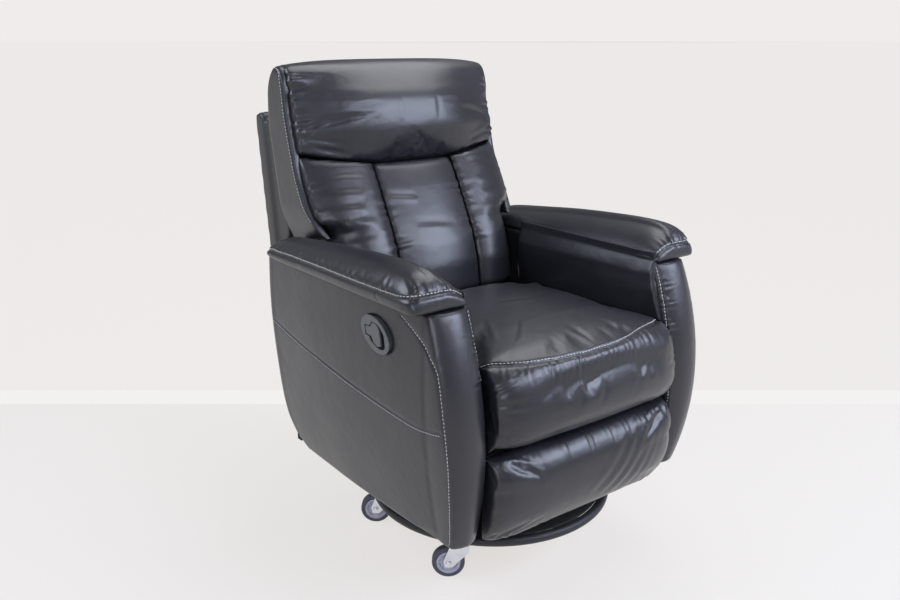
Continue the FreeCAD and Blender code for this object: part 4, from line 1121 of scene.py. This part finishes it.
def inner_side(name, side):
    """The leather inside one arm, as a thin closed sheet."""
    rows, columns, corner = 40, 96, 14
    width = columns + corner
    half = rows * width
    front_surface, back_surface, faces = [], [], []
    for i in range(rows):
        down = i / (rows - 1)
        z = inner_top + (inner_low - inner_top) * down
        bulge = inner_bulge(down)
        lean = 0.034 * down ** 1.5
        for k in range(width):
            if k < columns:
                along = k / (columns - 1)
                x, y = inner_x - bulge, inner_rear + (inner_front - lean - inner_rear) * along
                nx, ny = -1.0, 0.0
            else:
                along = 1.0
                turn = (k - columns + 1) / corner * math.pi / 2
                x = inner_x - bulge * math.cos(turn) + corner_radius * (1 - math.cos(turn))
                y = inner_front - lean - corner_radius * math.sin(turn)
                nx, ny = -math.cos(turn), -math.sin(turn)
            puff = inner_puff(y, z, along, down)
            point = (side * (x + nx * puff), y + ny * puff, z)
            front_surface.append(point)
            back_surface.append((point[X] + side * skin_thickness, point[Y] + 0.002 * (ny != 0.0), z))
    for i in range(rows - 1):
        for k in range(width - 1):
            a, d = i * width + k, (i + 1) * width + k
            faces.append((a, a + 1, d + 1, d))
            faces.append((half + d, half + d + 1, half + a + 1, half + a))
    rim = list(range(width)) + [i * width + width - 1 for i in range(1, rows)]
    rim += [(rows - 1) * width + k for k in range(width - 2, -1, -1)]
    rim += [i * width for i in range(rows - 2, 0, -1)]
    for a, b in zip(rim, rim[1:] + rim[:1]):
        faces.append((b, a, half + a, half + b))
    if side < 0:
        faces = [face[::-1] for face in faces]
    mesh = new_mesh(name, front_surface + back_surface, faces)
    shade_smooth(mesh)
    piece = new_piece(name, mesh, black_leather)
    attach(piece, "chair")
    return piece


inner_sides = [inner_side("arm_inner_leather_left", -1), inner_side("arm_inner_leather_right", 1)]
print("arm insides:", [len(p.data.vertices) for p in inner_sides])

# %% [markdown]
# The room is only a stage. The pale wall of the photograph, with its skirting board, is laid
# flat on the floor as two bands that run back to the horizon, so that nothing stands in the
# way when the chair is seen from behind. To keep floor and wall pale without clipping the
# whites, camera, glossy and transmission rays see a plain light colour mixed into their own
# shading. Five soft lamps stand for the windows and the ceiling.

# %% Stage and light
pale_wall = (0.865, 0.843, 0.835, 1)


def stage_finish(name, colour, seen, share):
    """A pale surface that some rays see in part as a plain, even colour."""
    finish = Finish(name, Roughness=0.8, Specular_IOR_Level=0.15)
    lighter = tuple(min(1.0, 1.03 * c) for c in colour)
    finish.set("Base Color", finish.blend(finish.spots(0.9), colour, lighter))
    glow = finish.node("ShaderNodeEmission", {}, {"Color": seen})
    clear = finish.rays("Is Camera Ray", "Is Glossy Ray", "Is Transmission Ray")
    finish.show(clear * share, Wire(finish, finish.shader.outputs["BSDF"]), glow, "Material Output")
    return finish.material


def slab(name, low, high, material):
    """A flat box that belongs to the stage."""
    points = [(x, y, z) for x in (low[0], high[0]) for y in (low[1], high[1]) for z in (low[2], high[2])]
    faces = [(0, 1, 3, 2), (4, 6, 7, 5), (0, 4, 5, 1), (2, 3, 7, 6), (0, 2, 6, 4), (1, 5, 7, 3)]
    piece = new_piece(name, new_mesh(name, points, faces), material)
    return piece


def lamp(name, where, aim, size, power, colour):
    """A rectangular lamp that points at a place."""
    data = bpy.data.lights.new(name, "AREA")
    data.shape = "RECTANGLE"
    data.size, data.size_y = size
    data.energy = power
    data.color = colour
    light = bpy.data.objects.new(name, data)
    bpy.context.scene.collection.objects.link(light)
    light.location = where
    light.rotation_euler = (Vector(aim) - Vector(where)).to_track_quat("-Z", "Y").to_euler()
    return light


floor_look = stage_finish("floor_look", (0.62, 0.61, 0.605, 1), (0.985, 0.955, 0.93, 1), 0.70)
wall_look = stage_finish("wall_look", (0.60, 0.595, 0.59, 1), pale_wall, 0.97)
skirting_look = stage_finish("skirting_look", (0.62, 0.615, 0.61, 1), (0.915, 0.90, 0.89, 1), 0.95)
floor = slab("floor", (-400.0, -400.0, -0.02), (400.0, 400.0, 0.0), floor_look)
backdrop = slab("backdrop", (-400.0, 0.70, -0.001), (400.0, 400.0, 0.0008), wall_look)
skirting = slab("skirting", (-400.0, 0.69, -0.001), (400.0, 0.81, 0.0012), skirting_look)
for stage_piece in (backdrop, skirting):
    stage_piece.rotation_euler = (0.0, 0.0, -turn_to_right)
lamps = [
    lamp("front_window", (2.15, -2.75, 2.25), (0, 0, 0.85), (2.1, 1.6), 96, (0.72, 0.79, 1.0)),
    lamp("front_high", (0.45, -2.9, 2.55), (0, 0, 0.6), (1.7, 1.1), 38, (0.76, 0.82, 1.0)),
    lamp("left_window", (-2.1, 0.95, 2.35), (0.2, -0.1, 0.7), (1.6, 1.3), 42, (0.78, 0.85, 1.0)),
    lamp("ceiling", (0.9, 0.1, 3.2), (0, 0, 0.5), (2.4, 2.0), 50, (0.95, 0.96, 1.0)),
    lamp("left_fill", (-2.9, -2.6, 1.9), (0, 0, 0.6), (1.9, 1.7), 38, (0.84, 0.88, 1.0))]
world = bpy.data.worlds.new("room")
world.use_nodes = True
room = Graph(world.node_tree)
dim = room.node("ShaderNodeBackground", {}, {"Color": (0.80, 0.84, 0.90, 1), "Strength": 0.16})
pale = room.node("ShaderNodeBackground", {}, {"Color": pale_wall})
seen = 0.16 * room.rays("Is Glossy Ray") + room.rays("Is Camera Ray", "Is Transmission Ray")
room.show(seen, dim, pale, "World Output")
bpy.context.scene.world = world
print("stage pieces:", floor.name, backdrop.name, skirting.name, "lamps:", len(lamps))
